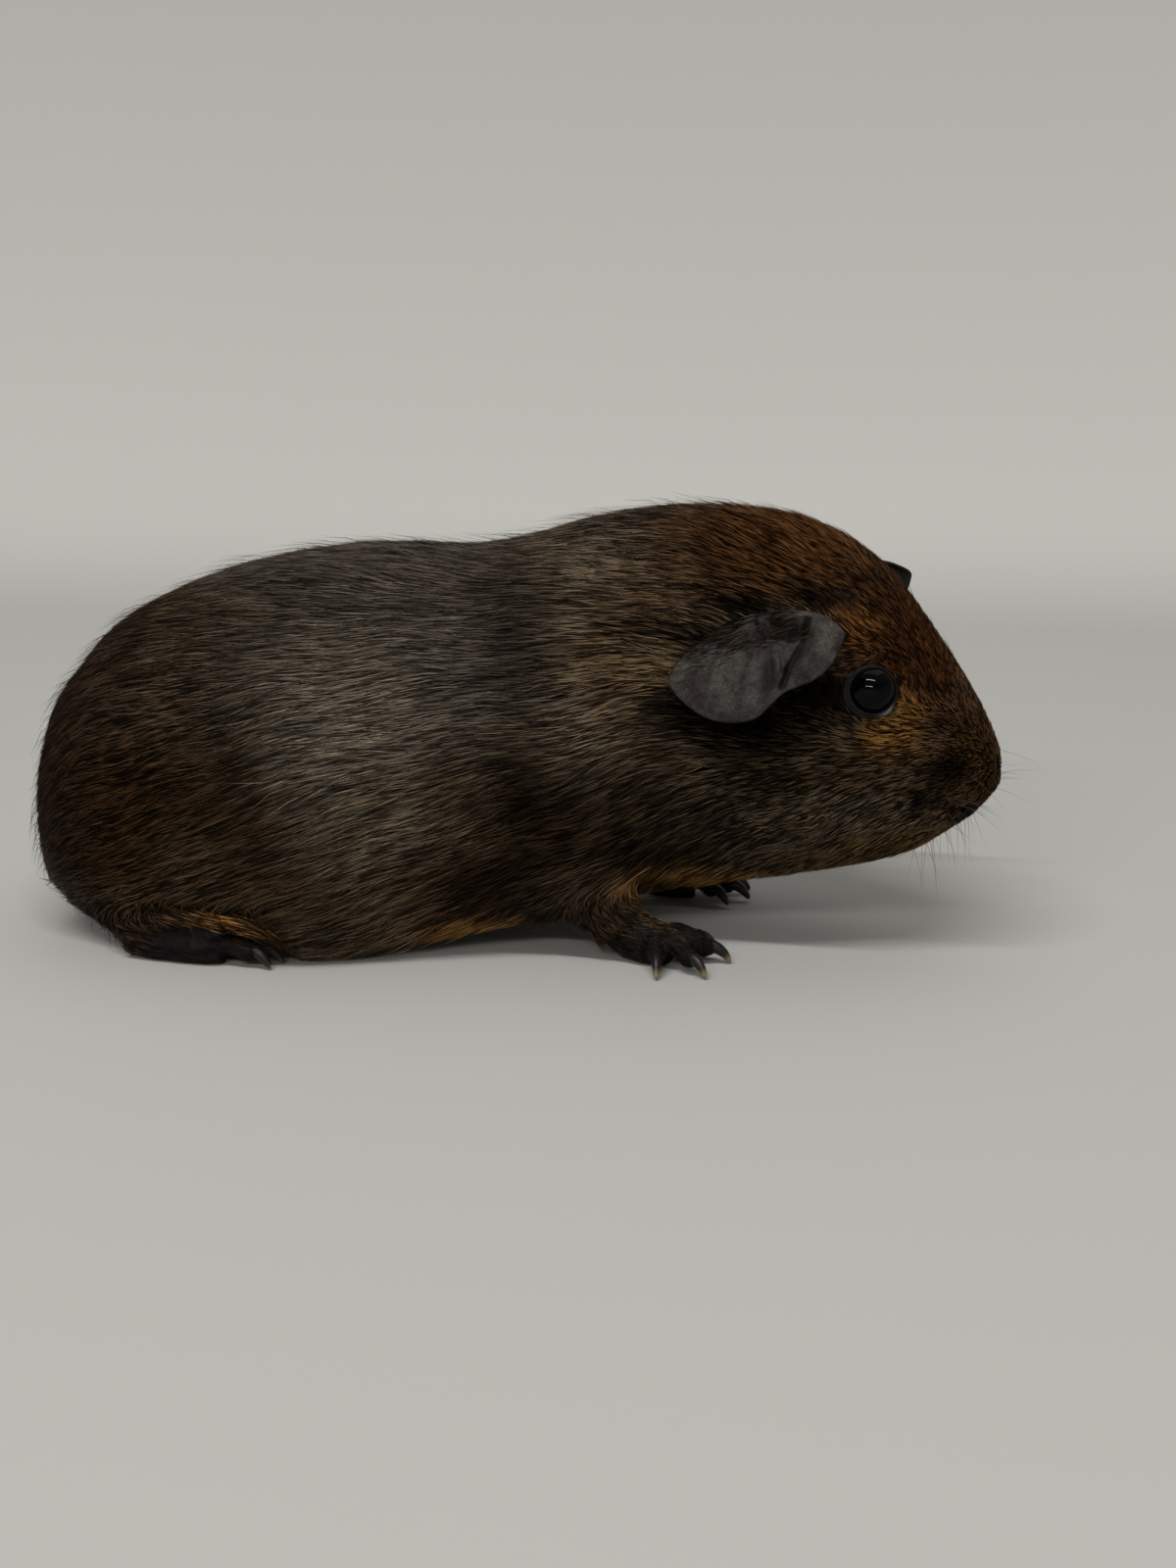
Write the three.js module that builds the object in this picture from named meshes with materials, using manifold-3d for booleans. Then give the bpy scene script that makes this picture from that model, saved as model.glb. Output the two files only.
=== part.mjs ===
// A short-haired guinea pig at rest on all fours, life size, in millimetres with +Z up.
// The nose points along +X, the animal's right side faces -Y, and the head is turned a little to the right.
// Every surface is the outline of the coat. The trunk, neck and head are one loft over a row of stations,
// raised or sunk by soft swells, then parted with thin cuts. Limbs, ears, eyes and claws are pieces of their own.
import * as THREE from 'three';
import { mergeVertices } from 'three/addons/utils/BufferGeometryUtils.js';
import Module from 'manifold-3d';

const wasm = await Module();
wasm.setup();

// ---- Driving dimensions -------------------------------------------------------------------------------

const GAP = 0.35; // clear space between neighbouring pieces
const BELLY_CLEAR = 0.8; // height of the belly's underside above the floor that the feet stand on
const HEAD_TURN = THREE.MathUtils.degToRad(13); // how far the head looks to its right
const NECK_TURN_FROM = 34; // the neck bends between these two places along the body
const NECK_TURN_TO = 56;
const BODY_SIDES = 28; // points round each body ring
const BODY_RINGS = 37; // rings from rump to nose
const EYE_RADIUS = 6.2;
const EYE_PLACE = [91.2, 17.3, 67.6];

// Stations of the trunk, neck and head, from rump to nose: where the ring meets the back [x, z] and the
// underside [x, z], its half width, the share of its height at which it is widest, and how square its
// upper and lower halves are (2 is an ellipse).
const STATIONS = [
  { part: 'rump end', back: [-120.3, 35], under: [-120.3, 35], half: 0, level: 0.5, upper: 2, lower: 2 },
  { part: 'rump', back: [-118.2, 48.2], under: [-117.6, 16.5], half: 22, level: 0.5, upper: 2.1, lower: 2.6 },
  { part: 'rump', back: [-111.6, 61.8], under: [-110.6, 4.5], half: 33.5, level: 0.46, upper: 2.1, lower: 3.3 },
  { part: 'haunch', back: [-99.6, 75.2], under: [-98, -1.5], half: 41.5, level: 0.42, upper: 2.1, lower: 4 },
  { part: 'haunch', back: [-81.6, 85], under: [-80, -4], half: 45.5, level: 0.4, upper: 2.1, lower: 4.4 },
  { part: 'loin', back: [-61, 91.9], under: [-60, -6], half: 47, level: 0.4, upper: 2.1, lower: 4.6 },
  { part: 'belly', back: [-41, 95.9], under: [-41, -4], half: 47, level: 0.41, upper: 2.1, lower: 4.2 },
  { part: 'belly', back: [-21, 96.7], under: [-21, 0], half: 44.5, level: 0.42, upper: 2.1, lower: 3.8 },
  { part: 'ribs', back: [-4, 95.6], under: [-2, 3], half: 40.5, level: 0.44, upper: 2.15, lower: 3.3 },
  { part: 'withers', back: [12, 101.2], under: [13, 6.5], half: 37.5, level: 0.46, upper: 2.15, lower: 2.7 },
  { part: 'chest', back: [26, 105.8], under: [27, 9.5], half: 35.5, level: 0.45, upper: 2.15, lower: 2.4 },
  { part: 'nape', back: [41, 106.6], under: [42, 12], half: 33.5, level: 0.44, upper: 2.15, lower: 2.3 },
  { part: 'neck', back: [56, 106.2], under: [54, 14.2], half: 31.5, level: 0.43, upper: 2.15, lower: 2.3 },
  { part: 'crown', back: [69, 104.4], under: [65, 16.4], half: 29.5, level: 0.41, upper: 2.2, lower: 2.3 },
  { part: 'crown', back: [80.2, 100.2], under: [74, 18.6], half: 27.5, level: 0.4, upper: 2.2, lower: 2.3 },
  { part: 'brow', back: [90, 92.8], under: [82, 20.6], half: 25.2, level: 0.38, upper: 2.25, lower: 2.3 },
  { part: 'brow', back: [97.9, 83.6], under: [89.5, 22.6], half: 22.2, level: 0.38, upper: 2.25, lower: 2.3 },
  { part: 'bridge', back: [104.7, 74.8], under: [96, 24.6], half: 18.8, level: 0.38, upper: 2.25, lower: 2.35 },
  { part: 'bridge', back: [110.6, 66.2], under: [101.5, 27.2], half: 16.4, level: 0.38, upper: 2.3, lower: 2.4 },
  { part: 'muzzle', back: [114.9, 58.6], under: [106.6, 30.8], half: 14.2, level: 0.4, upper: 2.3, lower: 2.4 },
  { part: 'muzzle', back: [117.8, 52.4], under: [111.6, 34.6], half: 11.8, level: 0.42, upper: 2.2, lower: 2.4 },
  { part: 'nose', back: [118.9, 47.6], under: [116, 38.6], half: 8, level: 0.45, upper: 2.1, lower: 2.2 },
  { part: 'nose end', back: [119, 43], under: [119, 43], half: 0, level: 0.5, upper: 2, lower: 2 },
];

// Soft swells (positive) and hollows (negative) on both sides: centre, reach along x, y and z, and height.
const SWELLS = [
  { part: 'haunch', at: [-74, 42, 38], reach: [24, 14, 24], rise: 2.2 },
  { part: 'knee', at: [-52, 43, 8], reach: [15, 12, 10], rise: 3.2 },
  { part: 'flank hollow', at: [-1, 38, 30], reach: [13, 12, 18], rise: -3.6 },
  { part: 'shoulder', at: [25, 36, 46], reach: [15, 12, 22], rise: 2.4 },
  { part: 'neck hollow', at: [47, 32, 40], reach: [9, 10, 22], rise: -1.4 },
  { part: 'cheek', at: [78, 25, 42], reach: [13, 9, 13], rise: 2.2 },
  { part: 'brow ridge', at: [92, 16, 79], reach: [9, 6, 5], rise: 0.9 },
  { part: 'hollow before the eye', at: [102, 17, 62], reach: [6, 6, 8], rise: -1 },
  { part: 'whisker pad', at: [110, 11, 42], reach: [6, 5, 6.5], rise: 1.4 },
  { part: 'lip hollow', at: [104, 12, 32], reach: [5, 6, 3], rise: -0.9 },
  { part: 'cleft under the nose', at: [118, 0, 37], reach: [3, 2, 4], rise: -0.8 },
];

// Nostrils are short comma-shaped hollows at the sides of the nose.
const NOSTRIL = { at: [114.4, 7, 38.8], radii: [1.9, 1.8, 1.3] };

// The rim of the right ear as [x, side, z], from the front corner down round the notch to the rear lobe.
const EAR_RIM = [
  [87.2, 30.4, 86.4],
  [86, 33, 79.8],
  [81, 34.6, 73.8],
  [75.4, 34.4, 70.2],
  [70.4, 36.6, 65],
  [61.4, 38, 62.4],
  [51, 37.4, 65],
  [46.2, 34, 71.4],
  [49, 30, 79.6],
  [60, 27, 84.8],
  [70.4, 24.8, 88],
  [79.6, 26, 89.4],
];
const EAR_CARRIAGE = { right: [0, 0, 0], left: [2.2, -0.6, 3.4] }; // the left ear is held higher and further forward
const EAR_HOLLOW = [74.4, 24.4, 80]; // the deep middle of the ear, where its canal begins
const EAR_SHEET = 0.9; // thickness of the flap at its rim
const EAR_ROOT = 7; // thickness at the root, which stands on the head
const EAR_OUTWARD = [0.1, 0.93, 0.35];
// Folds of the ear: its direction round the rim as a share of it, width as a share, and depth.
const EAR_FOLDS = [
  { part: 'valley to the notch', turn: 0.25, width: 0.05, depth: -2.2 },
  { part: 'ridge behind the notch', turn: 0.36, width: 0.055, depth: 1.4 },
  { part: 'crease of the rear lobe', turn: 0.53, width: 0.05, depth: -0.7 },
  { part: 'roll of the front lobe', turn: 0.1, width: 0.08, depth: 1.2 },
];

// Fore limbs: side is -1 for the animal's right and 1 for its left. Headings are degrees from +X, outwards
// positive; each toe has its heading from the foot's own, its length, and the length of its claw.
const FORE_LIMBS = [
  { side: -1, name: 'right', palm: [35.5, 30], heading: 22, digits: [[62, 5.4], [22, 9], [-22, 9.2], [-58, 8.4]] },
  { side: 1, name: 'left', palm: [38, 24], heading: 2, digits: [[38, 6.5], [12, 9.5], [-12, 9.5], [-38, 7]] },
];
// Toes: radius, and the heights of the middle line at root, arch and tip. Claws: length and root radius.
const FORE = { toe: { thickness: 2.4, root: 6.2, arch: 6, tip: 3 }, claw: { length: 5.2, radius: 1.4 } };
const HIND = { toe: { thickness: 2.6, root: 5, arch: 5.4, tip: 3.2 }, claw: { length: 5.6, radius: 1.5 } };
const HIND_LIMBS = [
  { side: -1, name: 'right', heel: [-91, 38], heading: 9, digits: [[9, 9.4], [-6, 10.4], [-20, 9]] },
  { side: 1, name: 'left', heel: [-91, 38], heading: 9, digits: [[9, 9.4], [-6, 10.4], [-20, 9]] },
];

// Rounded pieces of the trunk that belong to the limbs.
const THIGH = { at: [-70, 42, 31], radii: [32, 19, 29] };
const UPPER_ARM = { at: [19, 38, 36], radii: [20, 15, 26] };
const FOREARM = { line: [[3, 26, 28], [10, 28, 24], [20, 30, 16.5]], radii: [6, 11.5, 9.5, 6.2] };

// Planes that part trunk from neck and neck from head: place along the body and lean in degrees.
const NECK_BASE = { x: 33, lean: 8 };
const HEAD_BASE = { x: 57, lean: -6 };

const COAT = new THREE.MeshStandardMaterial({ color: 0x3a2b1e, roughness: 0.75, metalness: 0 });
const BARE_SKIN = new THREE.MeshStandardMaterial({ color: 0x3a3836, roughness: 0.7, metalness: 0 });
const FOOT_SKIN = new THREE.MeshStandardMaterial({ color: 0x1c1816, roughness: 0.6, metalness: 0 });
const EYE_BLACK = new THREE.MeshStandardMaterial({ color: 0x08080a, roughness: 0.05, metalness: 0 });
const CLAW_HORN = new THREE.MeshStandardMaterial({ color: 0x4a3c2c, roughness: 0.35, metalness: 0 });

// ---- Helpers ------------------------------------------------------------------------------------------

const radians = THREE.MathUtils.degToRad;
const mix = THREE.MathUtils.lerp;
const signedPower = (value, power) => Math.sign(value) * Math.abs(value) ** power;

// A closed surface through rings of points. A ring of one point is a pole; an open end gets its middle as one.
function loft(rings) {
  const middle = (ring) => ring.reduce((sum, p) => sum.add(p), new THREE.Vector3()).divideScalar(ring.length);
  const all = [...rings];
  if (all[0].length > 1) all.unshift([middle(all[0])]);
  if (all.at(-1).length > 1) all.push([middle(all.at(-1))]);
  const points = all.flat();
  const starts = [];
  all.reduce((from, ring) => (starts.push(from), from + ring.length), 0);
  const faces = [];
  for (let r = 0; r + 1 < all.length; r++) {
    const [a, b] = [all[r].length, all[r + 1].length];
    const sides = Math.max(a, b);
    for (let i = 0; i < sides; i++) {
      const next = (i + 1) % sides;
      const [a0, a1] = [starts[r] + (a > 1 ? i : 0), starts[r] + (a > 1 ? next : 0)];
      const [b0, b1] = [starts[r + 1] + (b > 1 ? i : 0), starts[r + 1] + (b > 1 ? next : 0)];
      if (a > 1) faces.push(a0, a1, b0);
      if (b > 1) faces.push(a1, b1, b0);
    }
  }
  const geometry = new THREE.BufferGeometry().setFromPoints(points);
  geometry.setIndex(faces);
  return facingOut(geometry);
}

// The same surface with its faces turned outwards.
function facingOut(geometry) {
  const index = geometry.getIndex();
  const position = geometry.getAttribute('position');
  const [a, b, c] = [new THREE.Vector3(), new THREE.Vector3(), new THREE.Vector3()];
  let volume = 0;
  for (let i = 0; i < index.count; i += 3) {
    a.fromBufferAttribute(position, index.getX(i));
    b.fromBufferAttribute(position, index.getX(i + 1));
    c.fromBufferAttribute(position, index.getX(i + 2));
    volume += a.dot(b.cross(c));
  }
  if (volume < 0) {
    const turned = Array.from(index.array);
    for (let i = 0; i < turned.length; i += 3) [turned[i + 1], turned[i + 2]] = [turned[i + 2], turned[i + 1]];
    geometry.setIndex(turned);
  }
  return geometry;
}

function solid(geometry) {
  return new wasm.Manifold(
    new wasm.Mesh({
      numProp: 3,
      vertProperties: new Float32Array(geometry.getAttribute('position').array),
      triVerts: new Uint32Array(geometry.getIndex().array),
    }),
  );
}

function bare(geometry) {
  geometry.deleteAttribute('normal');
  geometry.deleteAttribute('uv');
  return mergeVertices(geometry, 1e-4);
}

function ellipsoid(centre, radii, across = 12, down = 8) {
  const geometry = new THREE.SphereGeometry(1, across, down);
  geometry.rotateX(Math.PI / 2).scale(...radii).translate(...centre);
  return solid(bare(geometry));
}

function box(low, high) {
  const size = low.map((value, axis) => high[axis] - value);
  const geometry = new THREE.BoxGeometry(...size);
  geometry.translate(...low.map((value, axis) => value + size[axis] / 2));
  return solid(bare(geometry));
}

// Everything ahead of a plane that crosses the body at x, leaning back by the given degrees at its top.
function ahead(x, lean) {
  const REACH = 400;
  const geometry = new THREE.BoxGeometry(REACH, REACH, REACH);
  geometry.translate(REACH / 2, 0, 0).rotateY(radians(-lean)).translate(x, 0, 50);
  return solid(bare(geometry));
}

// A round limb along a curve through the points, with its radius at each of them.
function limb(points, radii, sides = 8, steps = 5) {
  const curve = new THREE.CatmullRomCurve3(points.map((p) => new THREE.Vector3(...p)));
  const frames = curve.computeFrenetFrames(steps);
  const rings = [];
  for (let i = 0; i <= steps; i++) {
    const along = (i / steps) * (radii.length - 1);
    const before = Math.min(Math.floor(along), radii.length - 2);
    const radius = mix(radii[before], radii[before + 1], along - before);
    const centre = curve.getPoint(i / steps);
    rings.push(
      Array.from({ length: sides }, (_, k) => {
        const angle = (k / sides) * 2 * Math.PI;
        return centre
          .clone()
          .addScaledVector(frames.normals[i], radius * Math.cos(angle))
          .addScaledVector(frames.binormals[i], radius * Math.sin(angle));
      }),
    );
  }
  return solid(loft(rings));
}

// ---- Trunk, neck and head -------------------------------------------------------------------------------

// The swells' push at a point of the body's surface, the same on both sides.
function swellAt(point) {
  return SWELLS.reduce((sum, { at, reach, rise }) => {
    const away = [point.x - at[0], Math.abs(point.y) - at[1], point.z - at[2]];
    const distance = away.reduce((total, value, axis) => total + (value / reach[axis]) ** 2, 0);
    return sum + rise * Math.exp(-distance);
  }, 0);
}

// The whole body as one loft, made larger on every side by the given clearance.
function bodySolid(clearance = 0) {
  const through = (place) => new THREE.CatmullRomCurve3(STATIONS.map(place));
  const back = through(({ back: [x, z] }) => new THREE.Vector3(x, 0, z));
  const under = through(({ under: [x, z] }) => new THREE.Vector3(x, 0, z));
  const breadth = through(({ half, level }) => new THREE.Vector3(half, level, 0));
  const squareness = through(({ upper, lower }) => new THREE.Vector3(upper, lower, 0));
  const rings = [];
  for (let i = 0; i <= BODY_RINGS; i++) {
    const t = i / BODY_RINGS;
    const [top, bottom] = [back.getPoint(t), under.getPoint(t)];
    const { x: half, y: level } = breadth.getPoint(t);
    const { x: upper, y: lower } = squareness.getPoint(t);
    const middle = bottom.clone().lerp(top, level);
    if (i === 0 || i === BODY_RINGS) {
      top.x += i === 0 ? -clearance : clearance;
      rings.push([top]);
      continue;
    }
    const ring = [];
    for (let k = 0; k < BODY_SIDES; k++) {
      const angle = ((k + 0.5) / BODY_SIDES) * 2 * Math.PI;
      const power = 2 / (Math.sin(angle) >= 0 ? upper : lower);
      const [across, height] = [signedPower(Math.cos(angle), power), signedPower(Math.sin(angle), power)];
      const point = middle.clone().lerp(height >= 0 ? top : bottom, Math.abs(height));
      point.y += across * half;
      const outward = point.clone().sub(middle).normalize();
      point.addScaledVector(outward, swellAt(point) + clearance);
      point.z = Math.max(point.z, BELLY_CLEAR);
      ring.push(point);
    }
    rings.push(ring);
  }
  return solid(loft(rings));
}

// ---- Ears -------------------------------------------------------------------------------------------------

// A petal that bows outwards from a hollow where it stands on the head: thin at its rim, thick at its root.
function earSolid(side, name) {
  const carriage = EAR_CARRIAGE[name];
  const sided = ([x, y, z]) => new THREE.Vector3(x + carriage[0], side * (y + carriage[1]), z + carriage[2]);
  const rim = new THREE.CatmullRomCurve3(EAR_RIM.map(sided), true);
  const hollow = sided(EAR_HOLLOW);
  const outward = new THREE.Vector3(EAR_OUTWARD[0], side * EAR_OUTWARD[1], EAR_OUTWARD[2]).normalize();
  const geometry = bare(new THREE.SphereGeometry(1, 20, 10));
  const position = geometry.getAttribute('position');
  for (let i = 0; i < position.count; i++) {
    const from = new THREE.Vector3().fromBufferAttribute(position, i);
    const turn = (Math.atan2(from.z, from.x) / (2 * Math.PI) + 1) % 1;
    const spread = Math.acos(Math.min(1, Math.abs(from.y))) / (Math.PI / 2);
    const fold = EAR_FOLDS.reduce((sum, { turn: at, width, depth }) => {
      const away = Math.min(Math.abs(turn - at), 1 - Math.abs(turn - at)) / width;
      return sum + depth * Math.exp(-away * away);
    }, 0);
    const place = hollow.clone().lerp(rim.getPoint(turn), spread);
    const bow = 2.2 * Math.sin(Math.PI * spread ** 1.3);
    place.addScaledVector(outward, bow + fold * Math.sin(Math.PI * Math.min(1, spread * 1.05)) ** 1.2);
    if (from.y < 0) {
      const root = Math.max(0, 1 - spread / 0.5) ** 2;
      place.addScaledVector(outward, -mix(EAR_SHEET, EAR_ROOT, root) * (spread < 0.999 ? 1 : 0));
    }
    position.setXYZ(i, place.x, place.y, place.z);
  }
  return solid(facingOut(geometry));
}

// ---- Limbs and claws --------------------------------------------------------------------------------------

const headingOf = (side, degrees) => side * radians(degrees);
const step = (from, heading, length) => [from[0] + Math.cos(heading) * length, from[1] + Math.sin(heading) * length];

// A claw curved down to the floor from just ahead of a toe's end.
function clawSolid({ tip, heading }, { length, radius }, clearance = 0) {
  const at = (share, drop) => [...step(tip, heading, GAP + length * share), mix(tip[2], radius * 0.3, drop)];
  const radii = [1, 0.85, 0.3].map((share) => radius * share + clearance);
  return limb([at(0, 0), at(0.6, 0.22), at(1, 1)], radii, 5, 3);
}

// Toes fanned out from the knuckles of a foot, arched and coming down to the claw.
function toes({ side, digits }, from, heading, { thickness, root, arch, tip }) {
  return digits.map(([turn, length]) => {
    const towards = heading + headingOf(side, turn);
    const end = [...step(from, towards, 3.4 + length), tip];
    const line = [[...step(from, towards, 3), root], [...step(from, towards, 3.4 + length * 0.55), arch], end];
    const radii = [1.2, 1.1, 0.75].map((share) => thickness * share);
    return { solid: limb(line, radii, 6, 3), tip: end, heading: towards };
  });
}

// A foot of pad and toes standing on the floor, and its claws.
function foot(pad, limbSet, knuckles, heading, { toe, claw }) {
  const made = toes(limbSet, knuckles, heading, toe);
  const claws = made.map((one) => clawSolid(one, claw));
  const whole = made.reduce((sum, one) => sum.add(one.solid).subtract(clawSolid(one, claw, GAP)), pad);
  return { flesh: largest(whole.intersect(aboveFloor)), claws };
}

function forePad({ side, palm, heading }, clearance = 0) {
  const towards = headingOf(side, heading);
  const at = (along, height) => [...step([palm[0], side * palm[1]], towards, along), height];
  const radii = [5.8, 6.4, 5].map((radius) => radius + clearance);
  return limb([at(-9, 8), at(-3, 5.6), at(5, 4.4)], radii, 8, 3);
}

function forefoot(limbSet) {
  const heading = headingOf(limbSet.side, limbSet.heading);
  const knuckles = step([limbSet.palm[0], limbSet.side * limbSet.palm[1]], heading, 1);
  return foot(forePad(limbSet), limbSet, knuckles, heading, FORE);
}

function hindSole({ side, heel, heading }, clearance = 0) {
  const towards = headingOf(side, heading);
  const at = (along, height) => [...step([heel[0], side * heel[1]], towards, along), height];
  const radii = [4.6, 5.6, 5.8, 4.6].map((radius) => radius + clearance);
  return limb([at(0, 5.4), at(10, 4.8), at(20, 5), at(25, 4.6)], radii, 8, 4);
}

function hindfoot(limbSet) {
  const heading = headingOf(limbSet.side, limbSet.heading);
  const knuckles = step([limbSet.heel[0], limbSet.side * limbSet.heel[1]], heading, 19);
  return foot(hindSole(limbSet), limbSet, knuckles, heading, HIND);
}

// The room that a hind foot needs under the haunch: its sole's own shape, and a low dome over the toes.
function hindRoom(limbSet) {
  const [x, y] = step([limbSet.heel[0], limbSet.side * limbSet.heel[1]], headingOf(limbSet.side, limbSet.heading), 30);
  return hindSole(limbSet, GAP).add(ellipsoid([x, y, 1.5], [13, 9.8, 8.2]));
}

function forearm({ side, palm, heading }, clearance = 0) {
  const wrist = [...step([palm[0], side * palm[1]], headingOf(side, heading), -7.5), 9.8];
  const line = [...FOREARM.line.map((place) => sided(side, place)), wrist];
  return limb(line, FOREARM.radii.map((radius) => radius + clearance), 10, 5);
}

const sided = (side, [x, y, z]) => [x, side * y, z];
const rounded = (side, { at, radii }, clearance = 0) =>
  ellipsoid(sided(side, at), radii.map((radius) => radius + clearance), 14, 7);

// ---- Putting the animal together ----------------------------------------------------------------------------

const aboveFloor = box([-300, -300, 0], [300, 300, 300]);
const pieces = []; // every piece as [name, solid, material], in the frame where the neck is straight
let body = bodySolid();
const headRoom = bodySolid(GAP); // the body with its clearance, to stand the ears on

for (const [side, name] of [[-1, 'right'], [1, 'left']]) {
  const place = sided(side, EYE_PLACE);
  body = body.subtract(ellipsoid(place, Array(3).fill(EYE_RADIUS + GAP)));
  pieces.push([`eye_${name}`, ellipsoid(place, Array(3).fill(EYE_RADIUS)), EYE_BLACK]);
  body = body.subtract(ellipsoid(sided(side, NOSTRIL.at), NOSTRIL.radii, 8, 6));
  pieces.push([`ear_${name}`, largest(earSolid(side, name).subtract(headRoom)), BARE_SKIN]);
}

for (const limbSet of HIND_LIMBS) {
  const { side, name } = limbSet;
  const { flesh, claws } = hindfoot(limbSet);
  pieces.push([`hindfoot_${name}`, flesh, FOOT_SKIN]);
  claws.forEach((claw, i) => pieces.push([`claw_hind_${name}_${i + 1}`, claw, CLAW_HORN]));
  body = body.subtract(hindRoom(limbSet));
  pieces.push([`thigh_${name}`, largest(body.intersect(rounded(side, THIGH))), COAT]);
  body = body.subtract(rounded(side, THIGH, GAP));
}

for (const limbSet of FORE_LIMBS) {
  const { side, name } = limbSet;
  const { flesh, claws } = forefoot(limbSet);
  pieces.push([`forefoot_${name}`, flesh, FOOT_SKIN]);
  claws.forEach((claw, i) => pieces.push([`claw_fore_${name}_${i + 1}`, claw, CLAW_HORN]));
  const leg = body.intersect(rounded(side, UPPER_ARM)).add(forearm(limbSet));
  pieces.push([`foreleg_${name}`, largest(leg.subtract(forePad(limbSet, GAP))), COAT]);
  body = body.subtract(rounded(side, UPPER_ARM, GAP)).subtract(forearm(limbSet, GAP));
}

function largest(made) {
  return made.decompose().sort((a, b) => b.volume() - a.volume())[0];
}

const pastNeckBase = (clearance) => ahead(NECK_BASE.x + clearance, NECK_BASE.lean);
const pastHeadBase = (clearance) => ahead(HEAD_BASE.x + clearance, HEAD_BASE.lean);
pieces.push(['trunk', largest(body.subtract(pastNeckBase(0))), COAT]);
pieces.push(['neck', largest(body.intersect(pastNeckBase(GAP)).subtract(pastHeadBase(0))), COAT]);
pieces.push(['head', largest(body.intersect(pastHeadBase(GAP))), COAT]);

// Turns what is ahead of the neck to the animal's right: an arc along the neck, then straight on.
function turnHead(point) {
  const along = THREE.MathUtils.clamp(point.x, NECK_TURN_FROM, NECK_TURN_TO);
  const radius = (NECK_TURN_TO - NECK_TURN_FROM) / HEAD_TURN;
  const angle = (along - NECK_TURN_FROM) / radius;
  const past = point.x - along;
  if (point.x <= NECK_TURN_FROM) return point;
  return new THREE.Vector3(
    NECK_TURN_FROM + radius * Math.sin(angle) + past * Math.cos(angle) + point.y * Math.sin(angle),
    -radius * (1 - Math.cos(angle)) - past * Math.sin(angle) + point.y * Math.cos(angle),
    point.z,
  );
}

// The feet stay where they stand; all the rest follows the turn of the neck.
const standsStill = (name) => /^(forefoot|claw)/.test(name);

const guineaPig = new THREE.Group();
for (const [name, made, material] of pieces) {
  const { vertProperties, triVerts } = made.getMesh();
  const geometry = new THREE.BufferGeometry();
  geometry.setAttribute('position', new THREE.BufferAttribute(new Float32Array(vertProperties), 3));
  geometry.setIndex(new THREE.BufferAttribute(new Uint32Array(triVerts), 1));
  const position = geometry.getAttribute('position');
  for (let i = 0; i < position.count && !standsStill(name); i++) {
    const turned = turnHead(new THREE.Vector3().fromBufferAttribute(position, i));
    position.setXYZ(i, turned.x, turned.y, turned.z);
  }
  geometry.computeVertexNormals();
  const mesh = new THREE.Mesh(geometry, material);
  mesh.name = name;
  guineaPig.add(mesh);
}

// The origin is on the floor, under the middle of the whole animal.
const extent = new THREE.Box3().setFromObject(guineaPig);
const centre = extent.getCenter(new THREE.Vector3());
guineaPig.position.set(-centre.x, -centre.y, -extent.min.z);

export default guineaPig;
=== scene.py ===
# %% [markdown]
# This lesson dresses a life-size guinea pig, a museum model of a short-haired, dark brown animal
# crouched on the floor. The frame is a set of plain closed solids that give the outline of its coat.
# Around them the lesson makes one skin, two eyes, the claws, a coat of fine tufts and the whiskers.
# Everything is in metres, with +Z up, the nose towards +X and the animal's right side towards -Y.

# %% Load the frame
import math
from contextlib import contextmanager

import bmesh
import bpy
import numpy as np
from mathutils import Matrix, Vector, kdtree
from mathutils.bvhtree import BVHTree


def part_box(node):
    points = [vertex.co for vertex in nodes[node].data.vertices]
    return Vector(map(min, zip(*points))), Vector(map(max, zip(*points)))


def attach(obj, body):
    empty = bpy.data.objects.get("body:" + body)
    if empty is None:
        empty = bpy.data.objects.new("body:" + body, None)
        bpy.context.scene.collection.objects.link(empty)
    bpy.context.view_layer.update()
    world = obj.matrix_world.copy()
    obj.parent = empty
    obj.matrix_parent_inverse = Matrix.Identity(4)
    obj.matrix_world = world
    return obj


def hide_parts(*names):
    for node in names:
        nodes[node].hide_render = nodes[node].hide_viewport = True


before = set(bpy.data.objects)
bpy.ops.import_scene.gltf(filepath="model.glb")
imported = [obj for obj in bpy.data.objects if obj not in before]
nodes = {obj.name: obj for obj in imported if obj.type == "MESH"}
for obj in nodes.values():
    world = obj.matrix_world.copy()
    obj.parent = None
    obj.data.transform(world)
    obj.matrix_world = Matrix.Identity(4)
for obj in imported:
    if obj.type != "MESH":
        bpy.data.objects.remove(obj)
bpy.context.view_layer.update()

MM = 0.001


# %% [markdown]
# The camera comes first, because every later choice is judged through it. It looks at the right side
# from a little above and slightly ahead of square, as a person kneeling at a table would, through a
# long lens that keeps the proportions true.

# %% Camera
CAMERA_AIM = Vector((18.2, 0, 36)) * MM
CAMERA_DISTANCE = 590 * MM
CAMERA_AZIMUTH = math.radians(6)
CAMERA_ELEVATION = math.radians(14.5)
CAMERA_LENS = 54  # in millimetres, as is the length of the sensor
CAMERA_SENSOR = 36
CAMERA_NEAR = 20 * MM  # nothing nearer than this is drawn


def towards(azimuth, elevation):
    """The way from the animal to something at this azimuth and elevation; azimuth 0 is its right side."""
    level = math.cos(elevation)
    return Vector((math.sin(azimuth) * level, -math.cos(azimuth) * level, math.sin(elevation)))


def as_object(name, data):
    """A new object of the scene that shows this mesh, lamp or camera."""
    made = bpy.data.objects.new(name, data)
    bpy.context.scene.collection.objects.link(made)
    return made


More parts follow.
